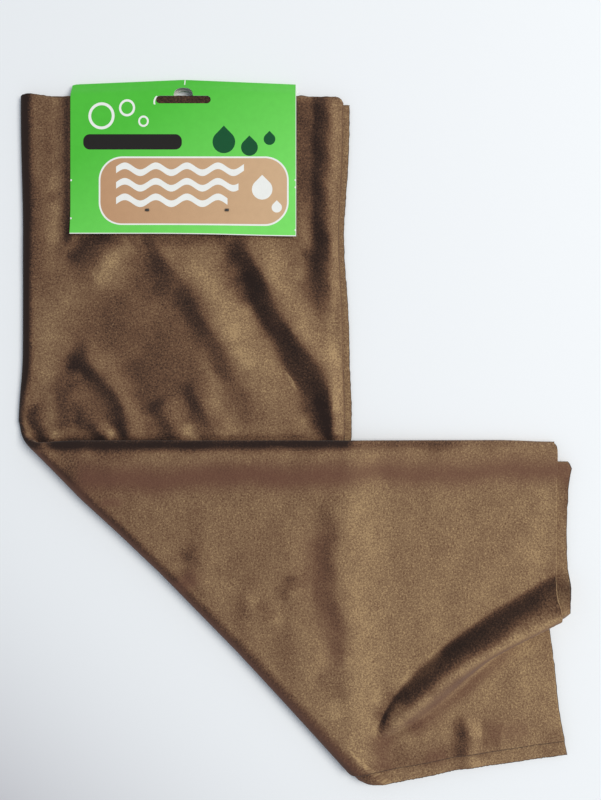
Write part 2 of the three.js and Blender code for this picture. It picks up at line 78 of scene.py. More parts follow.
def linear(colour: str) -> tuple[float, float, float, float]:
    """Turns an sRGB hex colour to linear.

    Args:
        colour: six hex digits, such as "8d7359".

    Returns:
        Linear red, green, blue and an alpha of 1.
    """
    parts = [int(colour[i:i + 2], 16) / 255 for i in (0, 2, 4)]
    turned = [c / 12.92 if c <= 0.04045 else ((c + 0.055) / 1.055) ** 2.4 for c in parts]
    return (*turned, 1.0)


def smooth(value: Array | float, none: Array | float, full: Array | float) -> Array:
    """Smoothstep of value from 0 at one place to 1 at another, which may lie either way round."""
    share = np.clip((np.asarray(value, float) - none) / (full - none), 0, 1)
    return share * share * (3 - 2 * share)


def hump(value: Array, amount: float, middle: float, spread: float) -> Array:
    """A bell of this amount at its middle."""
    return amount * np.exp(-(((value - middle) / spread) ** 2))


def add_node(tree: NodeTree, kind: str, inputs: dict | None = None, **settings: object) -> Node:
    """Adds one node with its settings and links.

    Args:
        tree: the node tree.
        kind: the node's type name without "ShaderNode".
        inputs: socket name or index to a value, or to an output socket that is linked to it.
        settings: the node's own properties.

    Returns:
        The node.
    """
    node = tree.nodes.new("ShaderNode" + kind)
    for key, value in settings.items():
        setattr(node, key, value)
    for key, value in (inputs or {}).items():
        if isinstance(value, NodeSocket):
            tree.links.new(value, node.inputs[key])
        else:
            node.inputs[key].default_value = value
    return node


def new_material(name: str) -> tuple[Material, NodeTree]:
    """Makes an empty node material.

    Args:
        name: the material's name.

    Returns:
        The material and its cleared node tree.
    """
    material = bpy.data.materials.new(name)
    material.use_nodes = True
    material.node_tree.nodes.clear()
    return material, material.node_tree


def end_material(tree: NodeTree, inputs: dict, raised: tuple[NodeSocket, float, float] | None = None) -> None:
    """Adds a material's shader and its output.

    Args:
        tree: the node tree.
        inputs: the shader's inputs.
        raised: what raises the surface, how strongly and by how many millimetres, or nothing.
    """
    if raised:
        height, strength, depth = raised
        bump = add_node(tree, "Bump", {"Height": height, "Strength": strength, "Distance": depth * MM})
        inputs = inputs | {"Normal": bump.outputs[0]}
    shader = add_node(tree, "BsdfPrincipled", inputs)
    add_node(tree, "OutputMaterial", {"Surface": shader.outputs[0]})


def new_object(name: str, mesh: Mesh, *materials: Material) -> Object:
    """Puts a finished mesh in the scene at the origin, unturned and unscaled.

    Args:
        name: the object's name.
        mesh: its mesh.
        materials: what the mesh is made of, in the order of its slots.

    Returns:
        The object.
    """
    obj = bpy.data.objects.new(name, mesh)
    bpy.context.scene.collection.objects.link(obj)
    for material in materials:
        mesh.materials.append(material)
    return obj


def with_modifier(obj: Object, kind: str, name: str, **settings: object) -> Mesh:
    """Applies one modifier to an object.

    Args:
        obj: the object, which is removed.
        kind: the modifier's type.
        name: the new mesh's name.
        settings: the modifier's own properties.

    Returns:
        The mesh with the modifier applied.
    """
    modifier = obj.modifiers.new(kind.lower(), kind)
    for key, value in settings.items():
        setattr(modifier, key, value)
    graph = bpy.context.evaluated_depsgraph_get()
    graph.update()
    mesh = bpy.data.meshes.new_from_object(obj.evaluated_get(graph))
    mesh.name = name
    bpy.data.objects.remove(obj)
    return mesh


def mesh_from(bm: bmesh.types.BMesh, name: str) -> Mesh:
    """Makes a mesh from a bmesh.

    Args:
        bm: the bmesh, which is freed.
        name: the mesh's name.

    Returns:
        The mesh.
    """
    mesh = bpy.data.meshes.new(name)
    bm.to_mesh(mesh)
    bm.free()
    return mesh


def smooth_faces(mesh: Mesh) -> None:
    """Shades every face of a mesh smoothly."""
    mesh.polygons.foreach_set("use_smooth", np.ones(len(mesh.polygons), bool))


def read(items: bpy.types.bpy_prop_collection, key: str, width: int, kind: type) -> Array:
    """Reads one property of a mesh's items.

    Args:
        items: the vertices, loops or values of an attribute.
        key: the property's name.
        width: how many numbers each item has.
        kind: the numbers' type.

    Returns:
        One row of numbers for each item.
    """
    values = np.empty(len(items) * width, kind)
    items.foreach_get(key, values)
    return values.reshape(-1, width)


def grid_mesh(name: str, columns: int, rows: int) -> tuple[Mesh, Array, Array]:
    """Makes a grid of faces to be laid out afterwards.

    Args:
        name: the mesh's name.
        columns: columns of vertices.
        rows: rows of vertices.

    Returns:
        The mesh, and each vertex's column and row.
    """
    bm = bmesh.new()
    bmesh.ops.create_grid(bm, x_segments=columns - 1, y_segments=rows - 1, size=1.0)
    mesh = mesh_from(bm, name)
    shares = (read(mesh.vertices, "co", 3, float) + 1) / 2
    column = np.rint(shares[:, 0] * (columns - 1)).astype(int)
    row = np.rint(shares[:, 1] * (rows - 1)).astype(int)
    return mesh, column, row


def lay_out(mesh: Mesh, points: Array, corner: Pair) -> None:
    """Moves a mesh's vertices to points of the cloth's plan.

    Args:
        mesh: the mesh.
        points: a place in millimetres for each vertex.
        corner: where the plan's origin lies in the frame, in millimetres.
    """
    metres = (points + np.array([*corner, 0.0])) * MM
    mesh.vertices.foreach_set("co", np.ascontiguousarray(metres, dtype=np.float32).ravel())
    mesh.update()


def map_flat(mesh: Mesh, places: Array) -> None:
    """Stores each vertex's place on the flat sheet as the mesh's map.

    Args:
        mesh: the mesh.
        places: two numbers for each vertex.
    """
    corners = read(mesh.loops, "vertex_index", 1, np.int32)[:, 0]
    mesh.uv_layers.new(name="flat").data.foreach_set("uv", places[corners].astype(np.float32).ravel())


# Finishes


@dataclass(frozen=True)
class SuedeNap:
    """Microfibre chamois with a brushed suede nap: matt, its tone set by the nap's lie and by painted shade.

    The nap's colours run from the deepest painted shade to the lightest painted light, and between holds the
    ones between as their places on that ramp and their colours. fray is how much the grain frays a cut edge's
    dark rim of painted shade, and what is left of the rim without grain.
    """

    deepest: str = "281c18"
    between: tuple[tuple[float, str], ...] = ((0.26, "473328"), (0.5, "6b4e3a"), (0.78, "8b7054"))
    lightest: str = "b0936c"
    flat_place: float = 0.74
    # Reddish painted shade, on slopes that face down the page
    reddish_shade: str = "6b493b"
    # Painted shade on the rim of the cut edges
    cut_edge_shade: str = "3a2c26"
    grain_mm: float = 0.85
    grain_depth: float = 1.2
    grain_detail: float = 2.0
    grain_distortion: float = 0.7
    mottle_mm: float = 9.0
    mottle_depth: float = 0.3
    mottle_detail: float = 4.0
    noise_roughness: float = 0.6
    fray: Pair = (1.4, 0.5)
    bump_mm: float = 0.4
    bump_strength: float = 0.35
    roughness: float = 0.92
    specular: float = 0.15
    sheen: float = 0.1
    sheen_roughness: float = 0.5

    def material(self) -> Material:
        """Builds the nap: tone with painted light and shade, reddish painted shade, grain and shaded cut
        rims.

        Returns:
            The material.
        """
        made, tree = new_material("suede_nap")
        flat = add_node(tree, "UVMap", uv_map="flat").outputs[0]
        # The stored tone: nap patches with painted light and shade on slopes and in the folds
        tone = add_node(tree, "Attribute", attribute_name="nap_tone_and_shade")
        reddish_shade = add_node(tree, "Attribute", attribute_name="reddish_shade")
        edge = add_node(tree, "Attribute", attribute_name="cut")
        # Grain is drawn a little coarser than the real pile, so that it shows
        noises = ((self.grain_mm, self.grain_detail, self.grain_distortion),
                  (self.mottle_mm, self.mottle_detail, 0.0))
        grain, mottle = (
            add_node(tree, "TexNoise", {"Vector": flat, "Scale": 1 / (size * MM), "Detail": detail,
                                        "Roughness": self.noise_roughness, "Distortion": distortion})
            for size, detail, distortion in noises)
        # Both noises average a half, so the place on the ramp is lowered by half of their depths
        place = self.flat_place - (self.grain_depth + self.mottle_depth) / 2
        for noise, depth in ((grain, self.grain_depth), (mottle, self.mottle_depth), (tone, 1.0)):
            place = add_node(tree, "Math", {0: noise.outputs["Fac"], 1: depth, 2: place},
                             operation="MULTIPLY_ADD").outputs[0]
        ramp = add_node(tree, "ValToRGB", {"Fac": place})
        stops = ramp.color_ramp.elements
        stops[0].color, stops[1].color = linear(self.deepest), linear(self.lightest)
        for position, colour in self.between:
            stops.new(position).color = linear(colour)
        # Reddish painted shade, from its stored attribute
        reddish_shaded = add_node(tree, "Mix", {0: reddish_shade.outputs["Fac"], 6: ramp.outputs["Color"],
                                         7: linear(self.reddish_shade)}, data_type="RGBA")
        # The cut edges' dark rim is painted shade, frayed by the grain
        frayed = add_node(tree, "Math", {0: grain.outputs["Fac"], 1: self.fray[0], 2: self.fray[1]},
                          operation="MULTIPLY_ADD")
        rough_edge = add_node(tree, "Math", {0: edge.outputs["Fac"], 1: frayed.outputs[0]},
                              operation="MULTIPLY", use_clamp=True)
        trimmed = add_node(tree, "Mix", {0: rough_edge.outputs[0], 6: reddish_shaded.outputs[2],
                                         7: linear(self.cut_edge_shade)}, data_type="RGBA")
        end_material(tree, {
            "Base Color": trimmed.outputs[2], "Roughness": self.roughness, "Sheen Weight": self.sheen,
            "Sheen Roughness": self.sheen_roughness, "Specular IOR Level": self.specular,
        }, (grain.outputs["Fac"], self.bump_strength, self.bump_mm))
        return made


@dataclass(frozen=True)
class PlainFinish:
    """A finish of one colour with a fine mottle and grain."""

    name: str
    colour: str
    shade: str
    roughness: float
    grain_mm: float
    bump_mm: float
    bump_strength: float = 0.4
    grain_detail: float = 3.0

    def material(self) -> Material:
        """Builds the finish from Object coordinates.

        Returns:
            The material.
        """
        made, tree = new_material(self.name)
        where = add_node(tree, "TexCoord")
        grain = add_node(tree, "TexNoise", {"Vector": where.outputs["Object"], "Detail": self.grain_detail,
                                            "Scale": 1 / (self.grain_mm * MM)})
        mixed = add_node(tree, "Mix", {0: grain.outputs["Fac"], 6: linear(self.shade),
                                       7: linear(self.colour)}, data_type="RGBA")
        end_material(tree, {"Base Color": mixed.outputs[2], "Roughness": self.roughness},
                     (grain.outputs["Fac"], self.bump_strength, self.bump_mm))
        return made


# Uncoated pulp board, where the card is cut and on the side towards the cloth: matt white with a faint mottle
CUT_BOARD = PlainFinish(
    name="cut_board", colour="f2f3ee", shade="dfe2da", roughness=0.85, grain_mm=0.6, bump_mm=0.08)

# Moulded nylon: near-black with a soft satin gloss
MOULDED_NYLON = PlainFinish(
    name="moulded_nylon", colour="2b2725", shade="1d1a19", roughness=0.48, grain_mm=0.5, bump_mm=0.03)


# The cloth


class Run(Enum):
    """The seven stretches of the folded sheet across the strip, from one cut edge to the other."""

    BACK = 0
    OUTER_FOLD = 1
    FRONT = 2
    FRONT_FOLD = 3
    INNER_FRONT = 4
    INNER_FOLD = 5
    INNER_BACK = 6


@dataclass(frozen=True)
class Crease:
    """A rounded bank or hollow along a line, or a change of tone along it.

    height is its greatest height in millimetres, or its tone. left and right are its widths on the two sides,
    seen along the line. The shares say where along the line it rises from nothing and falls back.
    """

    points: tuple[Pair, ...]
    height: float
    left: float
    right: float
    rise_share: float
    fall_share: float
    steady: bool = False

    def at(self, x: Array, y: Array) -> Array:
        """Works out the crease, whose line wanders a little unless it is steady.

        Args:
            x: places in x.
            y: places in y.

        Returns:
            Its height or tone at those places.
        """
        if not self.steady:
            x, y = wandered(x, y)
        line = self.rounded(np.array(self.points, float))
        steps = np.linalg.norm(np.diff(line, axis=0), axis=1)
        passed = np.concatenate([[0], np.cumsum(steps)]) / steps.sum()
        nearest, side, share = np.full(x.shape, np.inf), np.zeros(x.shape), np.zeros(x.shape)
        for index, run in enumerate(np.diff(line, axis=0)):
            from_x, from_y = x - line[index, 0], y - line[index, 1]
            part = np.clip((from_x * run[0] + from_y * run[1]) / (run @ run), 0, 1)
            off_x, off_y = from_x - part * run[0], from_y - part * run[1]
            distance = np.hypot(off_x, off_y)
            closer = distance < nearest
            nearest = np.where(closer, distance, nearest)
            side = np.where(closer, run[0] * off_y - run[1] * off_x, side)
            share = np.where(closer, passed[index] + part * (passed[index + 1] - passed[index]), share)
        envelope = np.ones(x.shape)
        if self.rise_share > 0:
            envelope *= smooth(share, 0, self.rise_share)
        if self.fall_share > 0:
            envelope *= smooth(share, 1, 1 - self.fall_share)
        return envelope * hump(nearest, self.height, 0, np.where(side > 0, self.left, self.right))

    @staticmethod
    def rounded(line: Array) -> Array:
        """Cuts a line's corners three times, so that it bends smoothly.

        Args:
            line: its points.

        Returns:
            The points of the rounded line.
        """
        for _ in range(3):
            if len(line) < 3:
                return line
            first = 0.75 * line[:-1] + 0.25 * line[1:]
            second = 0.25 * line[:-1] + 0.75 * line[1:]
            middle = np.stack([first, second], axis=1).reshape(-1, 2)
            line = np.concatenate([line[:1], middle[1:-1], line[-1:]])
        return line


def even(points: tuple[Pair, ...], height: float, width: float, rise_share: float = 0.2,
         fall_share: float = 0.2, steady: bool = False) -> Crease:
    """Makes a crease as wide on its left as on its right.

    Args:
        points: its line.
        height: its greatest height, or its tone.
        width: its width on each side.
        rise_share: the share of the line over which it rises.
        fall_share: the share of the line over which it falls back.
        steady: whether its line doesn't wander.

    Returns:
        The crease.
    """
    return Crease(points, height, width, width, rise_share, fall_share, steady)


# Lines that more than one table follows: the foot of the ridge, and the hollow left of its tip
RIDGE_FOOT = ((210, -350), (217, -346), (228, -337), (243, -326), (263, -312), (276, -301))
TIP_HOLLOW = ((197, -348), (198, -362), (196, -374))

# Banks and hollows of the upper limb's front layer. A line's left is on its left hand as its points run
UPPER_RELIEF = (
    Crease(((75.5, -72), (77, -86), (86, -100), (98, -113), (105, -126), (113, -141), (120, -154),
            (127, -168), (129, -182)), 2.3, 14, 8, 0.12, 0.6),
    Crease(((118, -70), (126.5, -90), (139, -113), (153.5, -133.5), (161.5, -147), (170, -163),
            (181, -190)), 3.6, 10, 7.5, 0.1, 0.02),
    even(((110, -80), (120, -102), (128, -119), (138, -138), (149, -160),
          (160, -190)), -1.3, 7, 0.45, 0.1),
    Crease(((168, 2), (168.5, -80), (170, -112), (171, -138)), 1.9, 6, 9, 0, 0.35),
    Crease(((74, -68), (58, -80), (42, -93), (28, -103)), 2.2, 13, 9, 0.15, 0.5),
    Crease(((27, -140), (36, -147), (47, -157), (53.5, -168), (63, -190)), 1.9, 7, 6, 0.2, 0.05),
    even(((27, -178), (38, -183), (49, -190)), 1.4, 4, 0.3, 0.05),
    Crease(((72.5, -164), (81, -176), (88, -192)), 1.2, 5, 6, 0.3, 0.05),
    Crease(((91, -153), (95, -162), (98.5, -170), (103.5, -179), (111, -192)), 1.3, 7, 6, 0.3, 0.05),
    Crease(((22, -150), (21, -168), (26, -186)), 1.1, 5, 8, 0.3, 0.1),
)

# Soft changes of tone of the same layer: where the nap lies another way, and painted shade and light,
# such as the card's shadow, the shaded slot, shade in the folds and where the roll lies on it
UPPER_NAP_AND_SHADE = (
    even(((0, 4), (180, 4), (180, -190), (0, -190)), -0.14, 400, 0, 0),
    even(((50, -125), (75, -140), (92, -158)), -0.15, 24, 0, 0),
    even(((62, -84), (68, -100), (76, -114)), -0.16, 9, 0, 0.3),
    even(((43, -79), (33, -85), (22, -94)), -0.34, 5, 0, 0.2),
    even(((60, -80), (50, -87), (38, -103)), 0.26, 5, 0.1, 0.1),
    even(((60, -88), (44, -104), (20, -118), (14, -140), (14, -160), (20, -186)), 0.1, 8, 0.1, 0.1),
    even(((92, -88), (101, -104), (110, -119), (118, -134), (127, -150), (133, -174)), 0.15, 8, 0.1, 0.15),
    even(((58, -143), (62, -158), (70, -176)), -0.2, 9, 0.2, 0.1),
    even(((12, -106), (13, -124), (12, -140)), 0.1, 8),
    even(((14, -160), (15.4, -176), (19, -188)), 0.2, 3.8, 0.2, 0),
    even(((169.4, 4), (169.4, -118)), -0.1, 4.5, 0, 0.2, True),
    even(((27, -148), (24, -160), (23, -174), (28, -184)), -0.34, 4, 0.1, 0.1),
    even(((171, -116), (172, -135), (173, -152)), 0.15, 4),
    # Painted shadow beside the card's left edge
    Crease(((26, 2), (26, -79)), -0.22, 2.2, 2.6, 0, 0, True),
    even(((19.5, 2), (19.5, -88)), 0.17, 4.5, 0, 0.1, True),
    even(((6.5, -38), (6.5, -108)), -0.17, 4.5),
    even(((98, -140), (101, -152), (105, -164), (111, -178)), 0.18, 4),
    even(((110, -88), (115, -98), (119, -108)), -0.2, 5),
    even(((95, -185), (150, -185)), 0.1, 4, 0.1, 0.1),
    even(((1.5, 4), (1.5, -170)), -0.75, 3, 0, 0.14, True),
    even(((0.5, -168), (2, -180), (9, -190)), 0.3, 2.2, 0.2, 0),
    even(((159, 4), (161.5, -70), (165.5, -130)), -0.2, 7, 0, 0.3, True),
    # Painted shadow in the hang hole's slot, under the card's edge
    even(((73, -3.2), (103, -3.2)), -0.5, 4, 0, 0, True),
    even(((4.5, -168), (6, -178), (10, -189)), -0.46, 4.4, 0.15, 0),
    even(((26, -169), (32, -177), (43, -190)), -0.3, 3.6, 0.2, 0),
    even(((27, -156), (36, -172), (44, -186)), -0.14, 9, 0.1, 0.1),
    # Painted shade where the lower limb's roll lies on this layer
    even(((2, -190), (178, -190)), -0.4, 2.2, 0, 0, True),
    even(((57, -176), (60, -190)), -0.2, 5, 0.3, 0),
    even(((119, -97), (122, -108), (126, -118)), -0.34, 5),
    even(((85, -103), (96, -114), (107, -128)), -0.16, 5),
    # Painted shadow below the card's lower edge
    even(((30, -79.5), (56, -79.5)), -0.14, 4, 0.1, 0.1),
    even(((64, -79.5), (114, -79.5)), -0.2, 4, 0.1, 0.1),
    even(((158, -162), (164, -172), (168, -180), (171, -188)), -0.34, 3.6, 0.3, 0),
    even(((156, -172), (161, -189)), 0.3, 3.6, 0.3, 0),
    even(((117, -138), (124, -152)), 0.2, 4),
    even(((156, -86), (150, -102)), 0.2, 4),
    even(((166, -90), (166.5, -104)), 0.2, 3.5),
    even(((154.5, -1), (156, -66)), -0.24, 5, 0.05, 0.25, True),
    even(((22, -145), (30, -150), (40, -157)), -0.24, 4, 0.3, 0.3),
    even(((14, -150), (14, -162)), 0.16, 4),
    even(((16, -53), (20, -60)), -0.24, 4, 0.3, 0.3),
    even(((133, -123), (136, -134)), -0.15, 4),
    even(((117, -127), (121, -136)), 0.15, 4),
    even(((84, -178), (86, -188)), -0.16, 4),
    even(((67, -176), (70, -187)), -0.15, 4),
    even(((106, -179), (109, -188)), -0.15, 4),
    even(((168, -163), (170, -176)), 0.14, 3.5),
    even(((22, 4), (22, -82)), 0.26, 2.6, 0, 0, True),
    even(((15, 0), (15, -50)), -0.1, 5, 0.2, 0.3),
    even(((92, -178), (97, -191)), 0.36, 4, 0.3, 0),
    even(((50, -185), (57, -191)), 0.4, 3, 0.2, 0),
    even(((17, -187), (24, -190)), 0.2, 3, 0.2, 0),
)

# Banks and hollows of the lower limb's top layer
LOWER_RELIEF = (
    Crease(((18, -198.5), (100, -198.5), (200, -198.5), (300, -198.5)), 1.7, 7, 12, 0.04, 0),
    Crease(((172.5, -209), (173.5, -240), (173.5, -262), (177, -283), (179, -305),
            (175, -325)), 0.9, 9, 8, 0.15, 0.15),
    Crease(((160, -218), (161, -262), (160, -300)), -0.4, 9, 8, 0.2, 0.2),
    even(((90, -249), (99, -253), (107, -262)), 0.6, 5, 0.3, 0.3),
    even(((90, -261), (96, -270), (101, -280)), 0.6, 6, 0.3, 0.3),
    even(((117, -279), (130, -284), (143, -290)), 0.5, 6, 0.3, 0.3),
    even(((158, -259), (150, -269), (143, -276)), 0.6, 5, 0.3, 0.3),
    even(((244, -337), (245.5, -354), (245, -374)), 1.9, 7, 0.35, 0.02),
    even(((234, -275), (262, -257), (278, -246)), 0.5, 7, 0.3, 0.2),
    even(((42, -223), (56, -225)), 0.5, 3, 0.3, 0.3),
)

# Soft changes of tone of the lower limb, and of the layer that stands out below it: the nap's patches,
# and painted shade and light, such as the dark line where the roll folds under and shade at the ridge's foot
LOWER_NAP_AND_SHADE = (
    # Painted shade on the underside of the roll, where it folds down onto the upper limb
    Crease(((12, -192), (60, -192.4), (120, -192.2), (184, -191.4)), -0.75, 2.4, 2.8, 0.05, 0.06, True),
    even(((178, -192.2), (252, -192.2)), -0.26, 3, 0, 0.3, True),
    even(((285, -224), (285, -262)), 0.08, 8),
    even(((20, -212), (70, -211), (120, -209), (182, -208)), -0.2, 7, 0, 0.1),
    even(((230, -230), (262, -285)), -0.045, 60, 0, 0),
    even(((88, -258), (95, -270)), -0.1, 6),
    even(((92, -250), (101, -257)), -0.12, 3),
    even(((152, -261), (153, -270)), -0.18, 6, 0.1, 0.1),
    even(((60, -235), (120, -262), (150, -290)), -0.08, 45, 0, 0),
    Crease(((8, -197), (40, -229), (70, -259)), -0.2, 8, 5, 0, 0.3),
    even(((250, -300), (262, -290)), 0.05, 40, 0, 0),
    even(((198, -338), (205, -330)), 0.12, 7),
    even(((252, -338), (262, -352)), -0.08, 8),
    even(((241, -346), (242, -366)), -0.15, 5, 0.3, 0.2),
    even(((292, -316), (299, -350)), 0.07, 8),
    even(((100, -262), (168, -300), (168, -330)), 0.06, 10),
    even(TIP_HOLLOW, -0.2, 6),
    even(((200, -365), (216, -364), (238, -359)), -0.22, 6),
    even(((252, -352), (264, -355)), -0.2, 8, 0.1, 0.1),
    even(((258, -299), (268, -292.5), (280, -286), (294, -275)), 0.3, 4, 0.3, 0),
    even(((166, -268), (164, -300), (164, -330)), 0.1, 6),
    even(((210, -326), (217, -318), (223, -312), (232, -304)), 0.3, 3),
    even(((223, -328), (233, -322), (244, -315)), -0.2, 4),
    even(((196, -345), (198.5, -336), (205, -325)), -0.3, 4.5, 0.2, 0.3, True),
    even(((201, -345), (205, -336), (212, -329)), 0.42, 2.8, 0.1, 0.4, True),
    even(((200, -351), (212, -349), (224, -343)), -0.16, 4),
    even(((186, -371), (196, -375), (205, -375)), -0.2, 5, 0.1, 0.4),
    even(((300, -209), (300, -238)), -0.18, 3, 0.1, 0.3, True),
    even(((300.5, -258), (301, -278)), 0.22, 3, 0.2, 0.2, True),
    even(((131, -277), (137, -287)), -0.18, 6),
    even(((172, -328), (175, -342)), 0.22, 4),
    even(((164, -316), (167, -326)), -0.18, 4),
    even(((250, -351), (252, -366)), -0.2, 4),
    even(((38, -196), (70, -197)), -0.18, 4, 0.2, 0.3),
    even(((284, -216), (287, -230)), 0.16, 4),
    even(((168, -222), (168, -244)), 0.08, 5),
    even(((167, -266), (169, -278)), 0.12, 5),
    even(((176, -306), (176, -316)), 0.14, 4),
    even(((270, -305), (290, -330)), 0.06, 12),
    even(((252, -320), (266, -309), (280, -299)), 0.16, 5),
    even(((3, -191.5), (12, -199)), 0.45, 3.4, 0, 0.3),
    # Painted shade along the foot of the ridge
    even(RIDGE_FOOT, -0.13, 4.5, 0.1, 0.2),
)

# Reddish painted shade on the lower limb: the band below the roll that slopes down the page, the diagonal's
# edge and hollows by the ridge
LOWER_REDDISH_SHADE = (
    Crease(((28, -211), (100, -210), (180, -208), (300, -207)), 0.75, 8, 7, 0.03, 0),
    even(((42, -224.5), (57, -224.5)), 0.6, 2.6, 0.3, 0.3),
    even(((88, -262), (97, -272)), 0.5, 6, 0.3, 0.3),
    even(((160, -228), (164, -270), (170, -300), (168, -325)), 0.3, 9),
    even(((219, -360), (233, -364)), 0.4, 5),
    even(((255, -351), (280, -351)), 0.35, 6),
    even(TIP_HOLLOW, 0.4, 6),
    even(((10, -197), (80, -265), (150, -336), (184, -371)), 0.5, 2.6, 0, 0, True),
    even(RIDGE_FOOT, 0.42, 4.5, 0.1, 0.2),
)

# How a line is made to wander, in x and in y: a sway's reach, its shares of x and y, its length and its phase
SWAYS_IN_X = ((1.3, 0.0, 1.0, 11.0, 0.4), (0.9, 1.0, 1.7, 6.1, 0.0))
SWAYS_IN_Y = ((1.1, 1.0, 0.0, 12.5, 1.9), (0.8, 1.0, -0.6, 5.3, 0.7))


def wandered(x: Array, y: Array) -> tuple[Array, Array]:
    """Shifts places by a millimetre or two, so that no bank or patch runs dead straight."""
    shifts = [sum(reach * np.sin((x * of_x + y * of_y) / length + phase)
                  for reach, of_x, of_y, length, phase in sways) for sways in (SWAYS_IN_X, SWAYS_IN_Y)]
    return x + shifts[0], y + shifts[1]


def total(creases: Iterable[Crease], x: Array, y: Array) -> Array:
    """Sums creases at places."""
    return sum(crease.at(x, y) for crease in creases)


@dataclass(frozen=True)
class Grid:
    """Where each vertex of the sheet lies in its grid: its stretch, its share along that, and its row."""

    runs: Array
    shares: Array
    row: Array
    first_bend: int
    last_bend: int
    last_row: int

    @property
    def upper(self) -> Array:
        """Whether each vertex is on the upper limb, before the diagonal bend."""
        return self.row < self.first_bend

    @property
    def lower(self) -> Array:
        """Whether each vertex is on the lower limb, past the diagonal bend."""
        return self.row > self.last_bend

    @property
    def inner(self) -> Array:
        """How far each vertex belongs to the inner pair of layers, from 0 to 1."""
        return self.by_run(0, 0, 0, self.shares, 1, 1, 1)

    @property
    def cut(self) -> Array:
        """Finds the cut edges.

        Returns:
            Whether each vertex is on one.
        """
        ends = (self.row == 0) | (self.row == self.last_row)
        first = self.on(Run.BACK) & (self.shares == 0)
        return ends | first | (self.on(Run.INNER_BACK) & (self.shares == 1))

    def on(self, *runs: Run) -> Array:
        """Whether each vertex is on one of these stretches."""
        return np.isin(self.runs, [run.value for run in runs])

    def by_run(self, *values: Array | float) -> Array:
        """Gives each vertex the value of its stretch, from one value for each Run in their order."""
        return np.select([self.runs == run.value for run in Run], list(values))


@dataclass(frozen=True)
class Strip:
    """Sizes of the folded strip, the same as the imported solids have.

    slide is how far the inner pair of layers shifts across the strip by the end of the diagonal bend.
    bend_extra_reach is how much further out the bend goes at the diagonal's lower end.
    """

    corner: Pair = (-150.5662, 185.7423)
    thickness: float = 0.7
    gap: float = 0.6
    width: float = 180.4
    outer_fold_reach: float = 4.0
    front_fold_inset: float = 3.9
    inner_fold_inset: float = 3.0
    slide: float = 8.0
    upper_length: float = 190.2
    bend_radius: float = 5.2
    bend_extra_reach: float = 4.5

    @property
    def pitch(self) -> float:
        """Height from one layer to the next."""
        return self.thickness + self.gap

    @property
    def stack(self) -> float:
        """Height of the four layers."""
        return 4 * self.thickness + 3 * self.gap

    @property
    def bend_shift(self) -> float:
        """How far along the strip the diagonal bend takes up."""
        return math.pi * self.bend_radius / math.sqrt(2)

    @property
    def bend_start(self) -> float:
        """Where the diagonal bend starts at the outer fold."""
        return self.upper_length - self.bend_shift

    def layer_up(self, layer: int) -> float:
        """Height of a layer's middle above the strip's underside."""
        return self.thickness / 2 + layer * self.pitch

    def bent(self, across: Array, turn: Array, up: Array) -> Array:
        """Points of the strip on the diagonal bend.

        Args:
            across: places across the strip.
            turn: how far round the bend each one lies, in radians.
            up: heights above the strip's underside.

        Returns:
            The points in the cloth's plan.
        """
        diagonal = math.sqrt(2) * across + self.bend_radius * turn
        length = math.sqrt(2) * self.width + 2 * self.bend_shift
        out = (self.bend_radius - up + self.bend_extra_reach * diagonal / length) * np.sin(turn)
        return np.stack([
            (diagonal - out) / math.sqrt(2),
            -self.bend_start - (diagonal + out) / math.sqrt(2),
            self.bend_radius - (self.bend_radius - up) * np.cos(turn),
        ], axis=-1)


@dataclass(frozen=True)
class TopEnd:
    """The upper limb's cut end: how far along the strip its layers start."""

    skew: float = 2.2
    layer_step: float = 1.5
    back_drop: float = 2.3
    back_drop_run: Pair = (168.0, 176.0)
    front: float = 0.8
    front_rise: float = 2.1
    front_rise_run: Pair = (22.0, 0.0)
    front_drop: float = 2.4
    front_drop_start: float = 171.5
    front_drop_run: float = 5.0
    front_drop_power: float = 2.5
    front_dip: Triple = (0.5, 26.0, 10.0)

    def along(self, grid: Grid, across: Array, width: float) -> Array:
        """Where the cut edge lies along the strip.

        Args:
            grid: the sheet's grid.
            across: each vertex's place across the strip.
            width: the strip's width.

        Returns:
            The cut edge's place at each vertex's place across.
        """
        back = self.skew * across / width + self.layer_step * (1 - grid.inner)
        back = back + self.back_drop * smooth(across, *self.back_drop_run)
        dropped = np.clip((across - self.front_drop_start) / self.front_drop_run, 0, 1)
        front = self.front - self.front_rise * smooth(across, *self.front_rise_run)
        front = front + self.front_drop * dropped ** self.front_drop_power + hump(across, *self.front_dip)
        return back + (front - back) * grid.by_run(0, grid.shares, 1, 1 - grid.shares, 0, 0, 0)


@dataclass(frozen=True)
class FreeEnd:
    """The lower limb's cut end: how far along the strip its layers reach."""

    length: float = 294.3
    stagger: float = 7.0
    past_crest: float = 6.2
    past_crest_run: Pair = (4.0, 20.0)
    outer_corner: Triple = (-1.5, 0.0, 1.4)
    inner_corner: Triple = (-2.0, 0.0, 1.5)
    crest_dip: Triple = (-2.2, -1.0, 7.0)
    inner_humps: tuple[Triple, ...] = ((1.5, 11.0, 9.0), (-1.1, 52.0, 22.0))

    def along(self, inner: Array, across: Array, inner_fold: float, crest: float) -> Array:
        """Where the cut edge lies along the strip.

        Args:
            inner: how far each vertex belongs to the inner pair of layers.
            across: each vertex's place across the strip.
            inner_fold: the inner fold's place across the strip.
            crest: the place across where the ridge's crest meets this end.

        Returns:
            The cut edge's place at each vertex's place across.
        """
        longer = self.past_crest * smooth(across - crest, *self.past_crest_run)
        outer = longer + hump(across, *self.outer_corner)
        uneven = hump(across - inner_fold, *self.inner_corner) + hump(across - crest, *self.crest_dip)
        uneven = uneven + sum(hump(across, *part) for part in self.inner_humps)
        return self.length + self.stagger * inner + (1 - inner) * outer + inner * uneven


